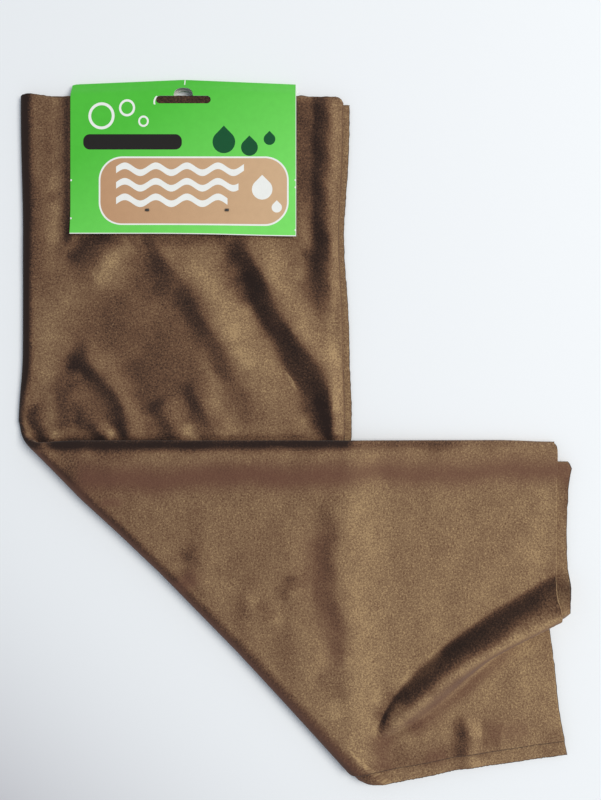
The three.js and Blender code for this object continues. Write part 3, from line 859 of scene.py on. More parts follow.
@dataclass(frozen=True)
class CardLift:
    """The rise of the upper limb's underside over the card's back panel."""

    height: float = 1.65
    left: float = 27.0
    right: float = 152.3
    down: float = 79.3
    run: float = 8.5

    def at(self, across: Array, along: Array) -> Array:
        """Height of the underside at places of the strip."""
        past = np.maximum.reduce([self.left - across, across - self.right, along - self.down])
        return self.height * smooth(past, self.run, 0)


@dataclass(frozen=True)
class Descent:
    """The lower limb's way down from the top of the diagonal bend to the table, steep at first."""

    start: float = 177.0
    steep_run: float = 25.0
    steep_share: float = 0.38

    def share(self, along: Array, end: float) -> Array:
        """How much of the way down is done at places along the strip, which ends at end."""
        steep = smooth(along, self.start, self.start + self.steep_run)
        return self.steep_share * steep + (1 - self.steep_share) * smooth(along, self.start, end)


@dataclass(frozen=True)
class Buckle:
    """The cone-like ridge near the free corner, from a tip inside the cloth.

    The cloth past the ridge turns about the tip, which frees what the ridge takes up. first_lean and lean are
    how far the ridge leans over for each millimetre of its height, near the tip and further out.
    """

    tip: Pair = (194.7, 162.3)
    turn: float = math.radians(8)
    crest_start: float = math.radians(41)
    crest_swing: float = math.radians(6.8)
    crest_passes: int = 4
    reach: float = 125.0
    half_span: float = 19.0
    growth: float = 25.0
    lean: float = 0.48
    first_lean: float = -0.2
    lean_start: float = 45.0
    drawn_in: float = 3.4
    drawn_in_run: Pair = (30.0, 80.0)
    steps: int = 24

    def crest(self, radius: Array | float) -> Array | float:
        """Direction from the tip to the crest in the cloth as it lay before it buckled."""
        return self.crest_start - self.crest_swing * radius / self.reach

    def crest_down(self, along: float) -> float:
        """Finds the crest.

        Args:
            along: a place along the strip.

        Returns:
            The crest's place across the strip there.
        """
        east = along - self.tip[0]
        radius = east
        for _ in range(self.crest_passes):
            radius = east / math.cos(self.crest(radius))
        return self.tip[1] - radius * math.sin(self.crest(radius))

    def buckled(self, along: Array, across: Array, level: Array, offset: Array) -> Array:
        """Lays the limb out with its ridge.

        Args:
            along: places along the strip.
            across: places across it.
            level: heights of the middle of the layers, without the ridge.
            offset: each point's height above that middle.

        Returns:
            Places along the strip, up the page and off the table.
        """
        east, north = along - self.tip[0], self.tip[1] - across
        radius, direction = np.hypot(east, north), np.arctan2(north, east)
        crest = self.crest(radius)
        span = np.maximum(self.half_span * (1 - np.exp(-radius / self.growth)), TINY)
        distance = radius * (crest - direction)
        # The slope follows half a sine wave, as steep as it takes to use up the cloth that the turn frees
        used = np.clip(radius * self.turn / (2 * span), 0, 1)
        steep = np.sqrt(8 * (1 - np.sqrt(1 - used)))
        within, side = np.minimum(np.abs(distance), span), np.sign(distance)
        run = np.abs(distance) - within
        peak, fall = np.zeros(along.shape), np.zeros(along.shape)
        for part in (np.arange(self.steps) + 0.5) / self.steps:
            slope = steep * np.sin(math.pi * within * part / span)
            run = run + np.cos(slope) * within / self.steps
            fall = fall + np.sin(slope) * within / self.steps
            peak = peak + np.sin(steep * math.sin(math.pi * part)) * span / self.steps
        slope = np.where(within < span, -side * steep * np.sin(math.pi * within / span), 0)
        lean = self.first_lean + (self.lean - self.first_lean) * smooth(radius, self.lean_start, self.reach)
        line_x, line_y = np.cos(slope) + lean * np.sin(slope), np.sin(slope)
        length = np.hypot(line_x, line_y)
        profile_run = side * run + lean * (peak - fall) - offset * line_y / length
        profile_up = level + peak - fall + offset * line_x / length
        fade = smooth(-direction, math.pi, math.pi / 2)
        turned = np.where(distance >= span, direction + self.turn * fade,
                          crest + self.turn / 2 - profile_run / np.maximum(radius, TINY))
        drawn = self.drawn_in * fade * smooth(radius, *self.drawn_in_run) * smooth(distance / span, 0, 1)
        ridge = np.stack([self.tip[0] + radius * np.cos(turned) - drawn,
                          radius * np.sin(turned) - self.tip[1], profile_up], axis=-1)
        plain = np.stack([along, -across, level + offset], axis=-1)
        return np.where((distance <= -span)[..., None], plain, ridge)


@dataclass(frozen=True)
class Ripples:
    """Shallow waves that soft handling leaves, each with its own length, turn and shift."""

    seed: int = 5
    count: int = 14
    lengths: Pair = (13.0, 42.0)
    steepness: float = 0.0012

    def at(self, x: Array, y: Array) -> Array:
        """Sums the waves.

        Args:
            x: places in x.
            y: places in y.

        Returns:
            Heights in millimetres.
        """
        rng = np.random.default_rng(self.seed)
        summed = np.zeros(x.shape)
        for _ in range(self.count):
            length = rng.uniform(*self.lengths)
            turn = rng.uniform(0, math.pi)
            shift = rng.uniform(0, math.tau)
            passed = (x * math.cos(turn) + y * math.sin(turn)) / length
            summed += self.steepness * length * np.sin(math.tau * passed + shift)
        return summed


@dataclass(frozen=True)
class Relief:
    """Where banks, hollows and waves fade, and how much of them each layer of the lower limb takes up.

    lower_layers holds for each Run its part at the stretch's start, and what is added by its end.
    """

    ripples: Ripples = Ripples()
    right_edge: Pair = (175.5, 170.0)
    outer_fold: Pair = (0.35, 1.0)
    card_left: Pair = (22.0, 30.0)
    card_right: Pair = (157.0, 149.0)
    card_down: Pair = (92.0, 70.0)
    bend_limit: float = 195.0
    bend_run: float = 9.0
    top: Pair = (0.0, 6.0)
    first_rows: int = 10
    lower_layers: tuple[Pair, ...] = (
        (1.0, 0.0), (1.0, -0.85), (0.15, 0.0), (0.15, 0.2), (0.4, 0.0), (0.4, 0.3), (0.75, 0.0))

    def raised(self, points: Array, grid: Grid, strip: Strip) -> Array:
        """Raises the banks and hollows of the layers that show.

        Args:
            points: the sheet's points.
            grid: the sheet's grid.
            strip: the strip's sizes.

        Returns:
            The points with the relief added to their heights.
        """
        x, down = points[:, 0], -points[:, 1]
        waves = self.ripples.at(x, -down)
        shown = grid.by_run(0, smooth(grid.shares, *self.outer_fold), 1, 0, 0, 0, 0)
        under_card = smooth(x, *self.card_left) * smooth(x, *self.card_right) * smooth(down, *self.card_down)
        bend = np.minimum(self.bend_limit, strip.bend_start + x)
        shown = shown * smooth(x, *self.right_edge) * smooth(down, bend, bend - self.bend_run)
        shown = shown * (1 - under_card) * smooth(down, *self.top) * grid.upper
        layers = grid.by_run(*(start + gain * grid.shares for start, gain in self.lower_layers))
        layers = layers * smooth(grid.row, grid.last_bend, grid.last_bend + self.first_rows)
        raised = points.copy()
        raised[:, 2] += shown * (waves + total(UPPER_RELIEF, x, -down))
        raised[:, 2] += layers * (waves + total(LOWER_RELIEF, x, -down))
        raised[:, 2] = np.maximum(raised[:, 2], strip.thickness / 2)
        return raised


@dataclass(frozen=True)
class Ramp:
    """A share that goes smoothly from 0 at one place to 1 at another."""

    none: float
    full: float

    def at(self, value: Array) -> Array:
        """The share at places."""
        return smooth(value, self.none, self.full)


@dataclass(frozen=True)
class Bell:
    """A share that is 1 at its middle and fades on both sides."""

    middle: float
    spread: float

    def at(self, value: Array) -> Array:
        """The share at places."""
        return hump(value, 1, self.middle, self.spread)


@dataclass(frozen=True)
class Nudge:
    """A push in plan that fades over x, over y and, where it is given, past a limit in y."""

    push: Pair
    over_x: Ramp | Bell
    over_y: Ramp | Bell
    limit: Ramp | None = None

    def at(self, x: Array, y: Array) -> Array:
        """Works out the push.

        Args:
            x: places in x.
            y: places in y.

        Returns:
            The push in x and y at each place.
        """
        share = self.over_x.at(x) * self.over_y.at(y)
        if self.limit:
            share = share * self.limit.at(y)
        return share[:, None] * np.array(self.push)


# The outer fold bulges above the diagonal and leans out at the top. The upper limb's right edge is drawn in
# by the card and spreads again below it. The last three are the lower limb's edges.
NUDGES = (
    Nudge((-1.9, 0), Ramp(30, 0), Bell(-173, 18)),
    Nudge((-1.2, 0), Ramp(20, 0), Ramp(-75, -10)),
    Nudge((-3.1, 0), Ramp(168, 180), Bell(-78, 34), Ramp(-192, -188)),
    Nudge((1.1, 0), Ramp(168, 180), Ramp(-140, -175), Ramp(-192, -188)),
    Nudge((0, 1.3), Bell(242, 15), Ramp(-340, -366)),
    Nudge((-1.0, 0), Ramp(280, 292), Bell(-338, 18)),
    Nudge((0, -0.9), Ramp(262, 292), Ramp(-222, -195)),
)


@dataclass(frozen=True)
class Outline:
    """How the outline runs unevenly: the nudges, the bow of the diagonal fold and the tip below it."""

    bow_places: tuple[float, ...] = (118, 132, 150, 180, 210, 240, 300, 335, 363, 394)
    bow: tuple[float, ...] = (0, 1.8, 1.9, 1.8, 0, -1.2, -1.6, -0.8, 0, 1.0)
    bow_edge: Pair = (112.0, 131.0)
    tip_level: float = -376.0
    tip_drawn_up: float = 0.55
    tip_run: Pair = (206.0, 196.0)

    def moved(self, points: Array) -> Array:
        """Moves the sheet's points in plan.

        Args:
            points: the points.

        Returns:
            The moved points.
        """
        x, y = points[:, 0], points[:, 1]
        # The diagonal fold bows out near the outer fold, in along its middle and out again at the tip
        bowed = np.interp((x - y) / math.sqrt(2), self.bow_places, self.bow)
        bowed = bowed * smooth((-x - y) / math.sqrt(2), *self.bow_edge) / math.sqrt(2)
        moved = points.copy()
        moved[:, :2] += sum(nudge.at(x, y) for nudge in NUDGES) - bowed[:, None]
        # The tip is drawn up a little by the folds inside it
        below = np.minimum(moved[:, 1] - self.tip_level, 0) * smooth(moved[:, 0], *self.tip_run)
        moved[:, 1] -= self.tip_drawn_up * below
        return moved


@dataclass(frozen=True)
class NapLieAndPaintedShade:
    """Painted light on slopes to the lamp at the right, painted shade on slopes to the left, and nap tones.

    The last two fields say how dark the rim is at the lower limb's lit end and at the upper limb's top end.
    """

    turn: float = math.radians(-5)
    shine: float = 0.8
    most_shine: float = 0.22
    shade: float = 0.76
    shade_rate: float = 3.2
    inner_share: float = 0.5
    faces_up: Pair = (-0.2, 0.3)
    front_fold: float = -0.3
    reddish_shade: float = 0.8
    reddish_shade_slope: Pair = (0.2, 0.75)
    most_reddish_shade: float = 0.85
    lit_rim: float = 0.1
    top_rim: float = 0.6

    def tones(self, grid: Grid, points: Array, normals: Array) -> dict[str, Array]:
        """Works out each point's nap tone with painted light and shade, its reddish painted shade, and its
        cut rim.

        Args:
            grid: the sheet's grid.
            points: the sheet's points.
            normals: outward normals of the sheet's one side and then of its other side.

        Returns:
            The attributes of tone with painted light and shade, of reddish painted shade and of the cut rim,
            per side.
        """
        x, y = points[:, 0], points[:, 1]
        toward = normals[..., 0] * math.cos(self.turn) + normals[..., 1] * math.sin(self.turn)
        up = smooth(normals[..., 2], *self.faces_up)
        upper = grid.on(Run.FRONT, Run.OUTER_FOLD, Run.FRONT_FOLD) & (grid.row <= grid.last_bend)
        lower = grid.on(Run.BACK, Run.OUTER_FOLD, Run.INNER_BACK) & (grid.row >= grid.first_bend)
        inner = grid.on(Run.INNER_FRONT, Run.INNER_FOLD, Run.INNER_BACK)
        # Painted light on slopes that face the lamp and painted shade on slopes that face away, less on the
        # inner layers
        shade = self.shade * np.where(inner, self.inner_share, 1)
        nap_tone_and_shade = np.minimum(self.shine * np.maximum(toward, 0), self.most_shine)
        nap_tone_and_shade = nap_tone_and_shade - shade * (1 - np.exp(self.shade_rate * np.minimum(toward, 0)))
        # Listed tones: the nap's own patches, and painted shade and light such as the card's shadow and shade
        # in folds
        nap_tone_and_shade = nap_tone_and_shade + up * (total(UPPER_NAP_AND_SHADE, x, y) * upper + total(LOWER_NAP_AND_SHADE, x, y) * lower)
        # Painted shade on the front fold, over the shaded gap beside it
        nap_tone_and_shade = nap_tone_and_shade + self.front_fold * (grid.on(Run.FRONT_FOLD) & grid.upper)
        # Reddish painted shade on slopes that face down the page, and in the listed places of the lower limb
        reddish_shade = total(LOWER_REDDISH_SHADE, x, y) * lower + self.reddish_shade * smooth(-normals[..., 1], *self.reddish_shade_slope)
        # The cut rim's painted shade is weaker at the lower limb's end, which the lamp lights, and at the top
        # end
        lit = grid.on(Run.BACK) & (grid.row == grid.last_row)
        rim = np.where(lit, self.lit_rim, np.where(grid.row == 0, self.top_rim, 1.0)) * grid.cut
        return {"nap_tone_and_shade": nap_tone_and_shade, "reddish_shade": np.clip(up * reddish_shade, 0, self.most_reddish_shade), "cut": np.tile(rim, (2, 1))}


@dataclass
class FoldedCloth:
    """The chamois cloth: one sheet in four layers, folded on a diagonal, in three pieces that meet there.

    edge_supports is how far from the cut edges along the strip two extra columns lie. The extra rows at the
    two cut ends lie as far from them as the first of these.
    """

    strip: Strip = Strip()
    top_end: TopEnd = TopEnd()
    free_end: FreeEnd = FreeEnd()
    card_lift: CardLift = CardLift()
    descent: Descent = Descent()
    buckle: Buckle = Buckle()
    relief: Relief = Relief()
    outline: Outline = Outline()
    nap: NapLieAndPaintedShade = NapLieAndPaintedShade()
    finish: SuedeNap = SuedeNap()
    shown_step: float = 1.7
    hidden_step: float = 3.2
    fold_columns: int = 14
    small_fold_columns: int = 6
    shown_rows: int = 88
    covered_rows: int = 26
    bend_rows: int = 22
    lower_rows: int = 128
    seen_length: float = 188.0
    seen_margin: float = 3.0
    edge_supports: Pair = (0.5, 1.2)
    jag_seed: int = 11
    jag: float = 0.1

    def columns(self) -> tuple[Array, Array]:
        """Spaces the columns across the folded sheet.

        Returns:
            Each column's stretch, as the value of its Run, and its share along that stretch.
        """
        width = self.strip.width
        supports = [support / width for support in self.edge_supports]
        shown, hidden = (list(np.linspace(0, 1, round(width / step) + 1))
                         for step in (self.shown_step, self.hidden_step))
        fold, small_fold = (list(np.linspace(0, 1, count + 1))[1:-1]
                            for count in (self.fold_columns, self.small_fold_columns))
        parts = {
            Run.BACK: [0.0, *supports, *shown[1:]],
            Run.OUTER_FOLD: fold,
            Run.FRONT: shown,
            Run.FRONT_FOLD: small_fold,
            Run.INNER_FRONT: hidden,
            Run.INNER_FOLD: small_fold,
            Run.INNER_BACK: [*hidden[:-1], *(1 - s for s in reversed(supports)), 1.0],
        }
        runs = np.concatenate([np.full(len(shares), run.value) for run, shares in parts.items()])
        return runs, np.concatenate(list(parts.values()))

    def across_and_up(self, grid: Grid, turn: Array) -> tuple[Array, Array]:
        """Places the sheet's middle across the strip.

        Args:
            grid: the sheet's grid.
            turn: how far round the diagonal bend each vertex lies, in radians.

        Returns:
            The places across, and the heights above the strip's underside.
        """
        s = self.strip
        back, inner_back, inner_front, front = (s.layer_up(layer) for layer in range(4))
        small, reach = s.pitch / 2, s.outer_fold_reach
        slid = s.slide * smooth(grid.row, self.shown_rows, grid.first_bend)
        fold = s.inner_fold_inset + s.slide * smooth(turn, math.pi / 2, math.pi) + small
        front_end = s.width - s.front_fold_inset + slid / 2 - small
        share, cos, sin = grid.shares, np.cos(math.pi * grid.shares), np.sin(math.pi * grid.shares)
        across = grid.by_run(
            s.width + (reach - s.width) * share,
            reach - reach * sin,
            reach + (front_end - reach) * share,
            front_end + small * sin,
            front_end + (fold - front_end) * share,
            fold - small * sin,
            fold + (s.width + slid - fold) * share)
        up = grid.by_run(
            back,
            (back + front) / 2 - (front - back) / 2 * cos,
            front,
            (front + inner_front) / 2 + small * cos,
            inner_front,
            (inner_front + inner_back) / 2 + small * cos,
            inner_back)
        return across, up

    def along_upper(self, grid: Grid, across: Array) -> Array:
        """Places the upper limb's rows along the strip, close together where they show.

        Args:
            grid: the sheet's grid.
            across: each vertex's place across the strip.

        Returns:
            The places along.
        """
        end = self.strip.bend_start + across
        seen = np.minimum(self.seen_length, end - self.seen_margin)
        cut = self.top_end.along(grid, across, self.strip.width)
        # The second row lies close to the cut edge, so that the edge's dark rim stays narrow
        share = np.where(grid.row == 1, self.edge_supports[0] / seen, grid.row / self.shown_rows)
        covered_share = (grid.row - self.shown_rows) / self.covered_rows
        return np.where(grid.row <= self.shown_rows, cut + (seen - cut) * share,
                        seen + (end - seen) * covered_share)

    def along_lower(self, grid: Grid, across: Array) -> Array:
        """Places the lower limb's rows along the strip.

        Args:
            grid: the sheet's grid.
            across: each vertex's place across the strip.

        Returns:
            The places along.
        """
        s = self.strip
        start = across + s.bend_shift
        crest = self.buckle.crest_down(self.free_end.length)
        end = self.free_end.along(grid.inner, across, s.inner_fold_inset + s.slide, crest)
        share = np.clip((grid.row - grid.last_bend) / self.lower_rows, 0, 1)
        along = start + (end - start) * share
        return np.where(grid.row == grid.last_row - 1, end - self.edge_supports[0], along)

    def lower_points(self, along: Array, across: Array, up: Array) -> Array:
        """Lays the lower limb out, with its descent to the table and its buckle.

        Args:
            along: places along the strip.
            across: places across it.
            up: heights above the strip's underside as it was before the fold.

        Returns:
            The points in the cloth's plan.
        """
        s = self.strip
        base = (2 * s.bend_radius - s.stack) * (1 - self.descent.share(along, self.free_end.length))
        points = self.buckle.buckled(along, across, base + s.stack / 2, s.stack / 2 - up)
        return points - np.array([0.0, s.upper_length, 0.0])

    def sheet(self) -> tuple[Mesh, Grid, Array, Array]:
        """Lays the whole sheet out as one grid.

        Returns:
            The mesh, its grid, each vertex's point in the plan and its place on the flat sheet in metres.
        """
        s = self.strip
        runs, shares = self.columns()
        first_bend = self.shown_rows + self.covered_rows
        last_bend = first_bend + self.bend_rows
        last_row = last_bend + self.lower_rows
        mesh, column, row = grid_mesh("cloth_sheet", len(runs), last_row + 1)
        grid = Grid(runs[column], shares[column], row, first_bend, last_bend, last_row)
        turn = math.pi * np.clip((row - first_bend) / self.bend_rows, 0, 1)
        across, up = self.across_and_up(grid, turn)
        along, along_low = self.along_upper(grid, across), self.along_lower(grid, across)
        upper = np.stack([across, -along, self.card_lift.at(across, along) + up], axis=-1)
        bent = s.bent(across, turn, up)
        lower = self.lower_points(along_low, across, up)
        points = np.where(grid.upper[:, None], upper, np.where(grid.lower[:, None], lower, bent))
        points = self.relief.raised(points, grid, s)
        points = self.outline.moved(self.with_jagged_edges(points, grid))
        lay_out(mesh, points, s.corner)

        round_bend = s.bend_start + across + math.sqrt(2) * s.bend_radius * turn
        strip_place = np.select([grid.upper, grid.lower], [along, s.upper_length + along_low], round_bend)
        leftward = grid.on(Run.BACK, Run.INNER_FRONT)
        sheet_place = grid.runs * s.width + np.where(leftward, s.width - across, across)
        LOG.info("cloth sheet: %d vertices in %d rows", len(points), last_row + 1)
        return mesh, grid, points, np.stack([sheet_place, strip_place], axis=1) * MM

    def with_jagged_edges(self, points: Array, grid: Grid) -> Array:
        """Moves the points on the cut edges a little in plan, as the blade left them.

        Args:
            points: the sheet's points.
            grid: the sheet's grid.

        Returns:
            The moved points.
        """
        rng = np.random.default_rng(self.jag_seed)
        moved = points.copy()
        moved[:, :2] += rng.normal(0, self.jag, (len(points), 2)) * grid.cut[:, None]
        return moved

    def build(self) -> None:
        """Makes the three pieces, dresses them and sets what they ride on."""
        sheet, grid, points, flat = self.sheet()
        solid = with_modifier(new_object("cloth_sheet", sheet), "SOLIDIFY", "cloth_solid",
                              thickness=self.strip.thickness * MM, offset=0.0, use_even_offset=False)
        assert len(solid.vertices) == 2 * len(points), "solidify keeps one copy of the sheet on each side"
        self.store_values(solid, grid, points, flat)
        material = self.finish.material()
        spans = {
            "chamois_upper": (0, grid.first_bend),
            "chamois_fold": (grid.first_bend, grid.last_bend),
            "chamois_lower": (grid.last_bend, grid.last_row),
        }
        pieces = {name: self.piece(solid, name, span, material) for name, span in spans.items()}
        bpy.data.meshes.remove(solid)
        self.declare(pieces)

    def store_values(self, solid: Mesh, grid: Grid, points: Array, flat: Array) -> None:
        """Writes rows, sides, normals, tones and the flat map on the thickened sheet.

        Args:
            solid: the thickened sheet, its one side's vertices before its other side's.
            grid: the sheet's grid.
            points: the sheet's points.
            flat: the sheet's places on the flat cloth.
        """
        normals = read(solid.vertex_normals, "vector", 3, np.float32)
        counts = {"row": np.tile(grid.row, 2), "side": np.repeat((0, 1), len(points))}
        for name, data in counts.items():
            solid.attributes.new(name, "INT", "POINT").data.foreach_set("value", data.astype(np.int32))
        kept = solid.attributes.new("kept_normal", "FLOAT_VECTOR", "POINT")
        kept.data.foreach_set("vector", normals.ravel())
        for name, data in self.nap.tones(grid, points, normals.reshape(2, -1, 3)).items():
            stored = solid.attributes.new(name, "FLOAT", "POINT")
            stored.data.foreach_set("value", data.astype(np.float32).ravel())
        map_flat(solid, np.tile(flat, (2, 1)))

    @staticmethod
    def piece(solid: Mesh, name: str, span: tuple[int, int], material: Material) -> Object:
        """Cuts one piece out of the thickened sheet and closes it at its seams.

        Args:
            solid: the thickened sheet.
            name: the piece's name.
            span: its first and last rows.
            material: its finish.

        Returns:
            The piece.
        """
        bm = bmesh.new()
        bm.from_mesh(solid)
        row, side = (bm.verts.layers.int[key] for key in ("row", "side"))
        extra = [face for face in bm.faces if not all(span[0] <= v[row] <= span[1] for v in face.verts)]
        bmesh.ops.delete(bm, geom=extra, context="FACES")
        seams = sorted({v[row] for edge in bm.edges if edge.is_boundary for v in edge.verts})
        for seam in seams:
            chains = [edge for edge in bm.edges
                      if edge.is_boundary and all(v[row] == seam for v in edge.verts)
                      and edge.verts[0][side] == edge.verts[1][side]]
            bmesh.ops.bridge_loops(bm, edges=chains)
        still_open = sum(edge.is_boundary for edge in bm.edges)
        LOG.info("%s: seams at rows %s, %d edges left open", name, seams, still_open)
        mesh = mesh_from(bm, name)
        smooth_faces(mesh)
        normals = read(mesh.attributes["kept_normal"].data, "vector", 3, np.float32)
        mesh.normals_split_custom_set_from_vertices(normals.tolist())
        for used in ("kept_normal", "row", "side"):
            mesh.attributes.remove(mesh.attributes[used])
        return new_object(name, mesh, material)

    @staticmethod
    def declare(pieces: dict[str, Object]) -> None:
        """Logs each piece's area, hangs the upper and lower pieces on their bodies and hides the solids they
        stand for.

        Args:
            pieces: the three pieces by their names.
        """
        for name, piece in pieces.items():
            area = sum(face.area for face in piece.data.polygons) / 2
            LOG.info("%s: a sheet of %.4f square metres", name, area)
        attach(pieces["chamois_upper"], "upper")
        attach(pieces["chamois_lower"], "lower")
        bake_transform(pieces["chamois_fold"])
        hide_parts("cloth_upper_limb")
        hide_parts("cloth_lower_limb")


# The header card


def shifted(place: Pair, by: Pair) -> Pair:
    """A place on the card, moved right and down."""
    return place[0] + by[0], place[1] + by[1]


@dataclass(frozen=True)
class PrintMasks:
    """Masks of plain printed shapes, 1 inside them, over a flat map in millimetres."""

    tree: NodeTree
    flat: NodeSocket

    def box(self, middle: Pair, half: Pair, corner: float) -> NodeSocket:
        """Masks a rounded box.

        Args:
            middle: its middle.
            half: half its width and height.
            corner: the radius of its corners.

        Returns:
            The mask.
        """
        place = self.flat
        straight = (half[0] - corner, half[1] - corner, 0)
        for operation, second in (("SUBTRACT", (*middle, 0)), ("ABSOLUTE", (0, 0, 0)),
                                  ("SUBTRACT", straight), ("MAXIMUM", (0, 0, 0))):
            place = add_node(self.tree, "VectorMath", {0: place, 1: second}, operation=operation).outputs[0]
        far = add_node(self.tree, "VectorMath", {0: place}, operation="LENGTH").outputs["Value"]
        return add_node(self.tree, "Math", {0: far, 1: corner}, operation="LESS_THAN").outputs[0]

    def drop(self, middle: Pair, radius: float) -> NodeSocket:
        """Masks a water drop: a ball, and above its middle a square that stands on a corner.

        Args:
            middle: the ball's middle.
            radius: the ball's radius.

        Returns:
            The mask.
        """
        far = add_node(self.tree, "VectorMath", {0: self.flat, 1: (*middle, 0)}, operation="DISTANCE")
        ball = add_node(self.tree, "Math", {0: far.outputs["Value"], 1: radius}, operation="LESS_THAN")
        reach = radius / math.sqrt(2)
        place = add_node(self.tree, "VectorMath", {0: self.flat, 1: (middle[0], middle[1] - reach, 0)},
                         operation="SUBTRACT")
        place = add_node(self.tree, "VectorMath", {0: place.outputs[0]}, operation="ABSOLUTE")
        far = add_node(self.tree, "VectorMath", {0: place.outputs[0], 1: (1, 1, 0)}, operation="DOT_PRODUCT")
        point = add_node(self.tree, "Math", {0: far.outputs["Value"], 1: reach}, operation="LESS_THAN")
        return add_node(self.tree, "Math", {0: ball.outputs[0], 1: point.outputs[0]},
                        operation="MAXIMUM").outputs[0]

    def ring(self, middle: Pair, radius: float, line: float) -> NodeSocket:
        """Masks a bubble's outline.

        Args:
            middle: its middle.
            radius: the radius of the line's middle.
            line: the line's width.

        Returns:
            The mask.
        """
        far = add_node(self.tree, "VectorMath", {0: self.flat, 1: (*middle, 0)}, operation="DISTANCE")
        return add_node(self.tree, "Math", {0: far.outputs["Value"], 1: radius, 2: line / 2},
                        operation="COMPARE").outputs[0]

    def wave(self, span: Pair, level: float, length: float, swing: float, line: float) -> NodeSocket:
        """Masks a wavy line.

        Args:
            span: where it starts and ends.
            level: the place of its middle, down the card.
            length: one wave's length.
            swing: how far it goes up and down.
            line: the line's width.

        Returns:
            The mask.
        """
        split = add_node(self.tree, "SeparateXYZ", {0: self.flat})
        turned = add_node(self.tree, "Math", {0: split.outputs[0], 1: math.tau / length},
                          operation="MULTIPLY")
        sine = add_node(self.tree, "Math", {0: turned.outputs[0]}, operation="SINE")
        wavy = add_node(self.tree, "Math", {0: sine.outputs[0], 1: swing, 2: level}, operation="MULTIPLY_ADD")
        near = add_node(self.tree, "Math", {0: split.outputs[1], 1: wavy.outputs[0], 2: line / 2},
                        operation="COMPARE")
        ends = self.box(((span[0] + span[1]) / 2, level), ((span[1] - span[0]) / 2, swing + line), line / 4)
        return add_node(self.tree, "Math", {0: near.outputs[0], 1: ends}, operation="MULTIPLY").outputs[0]


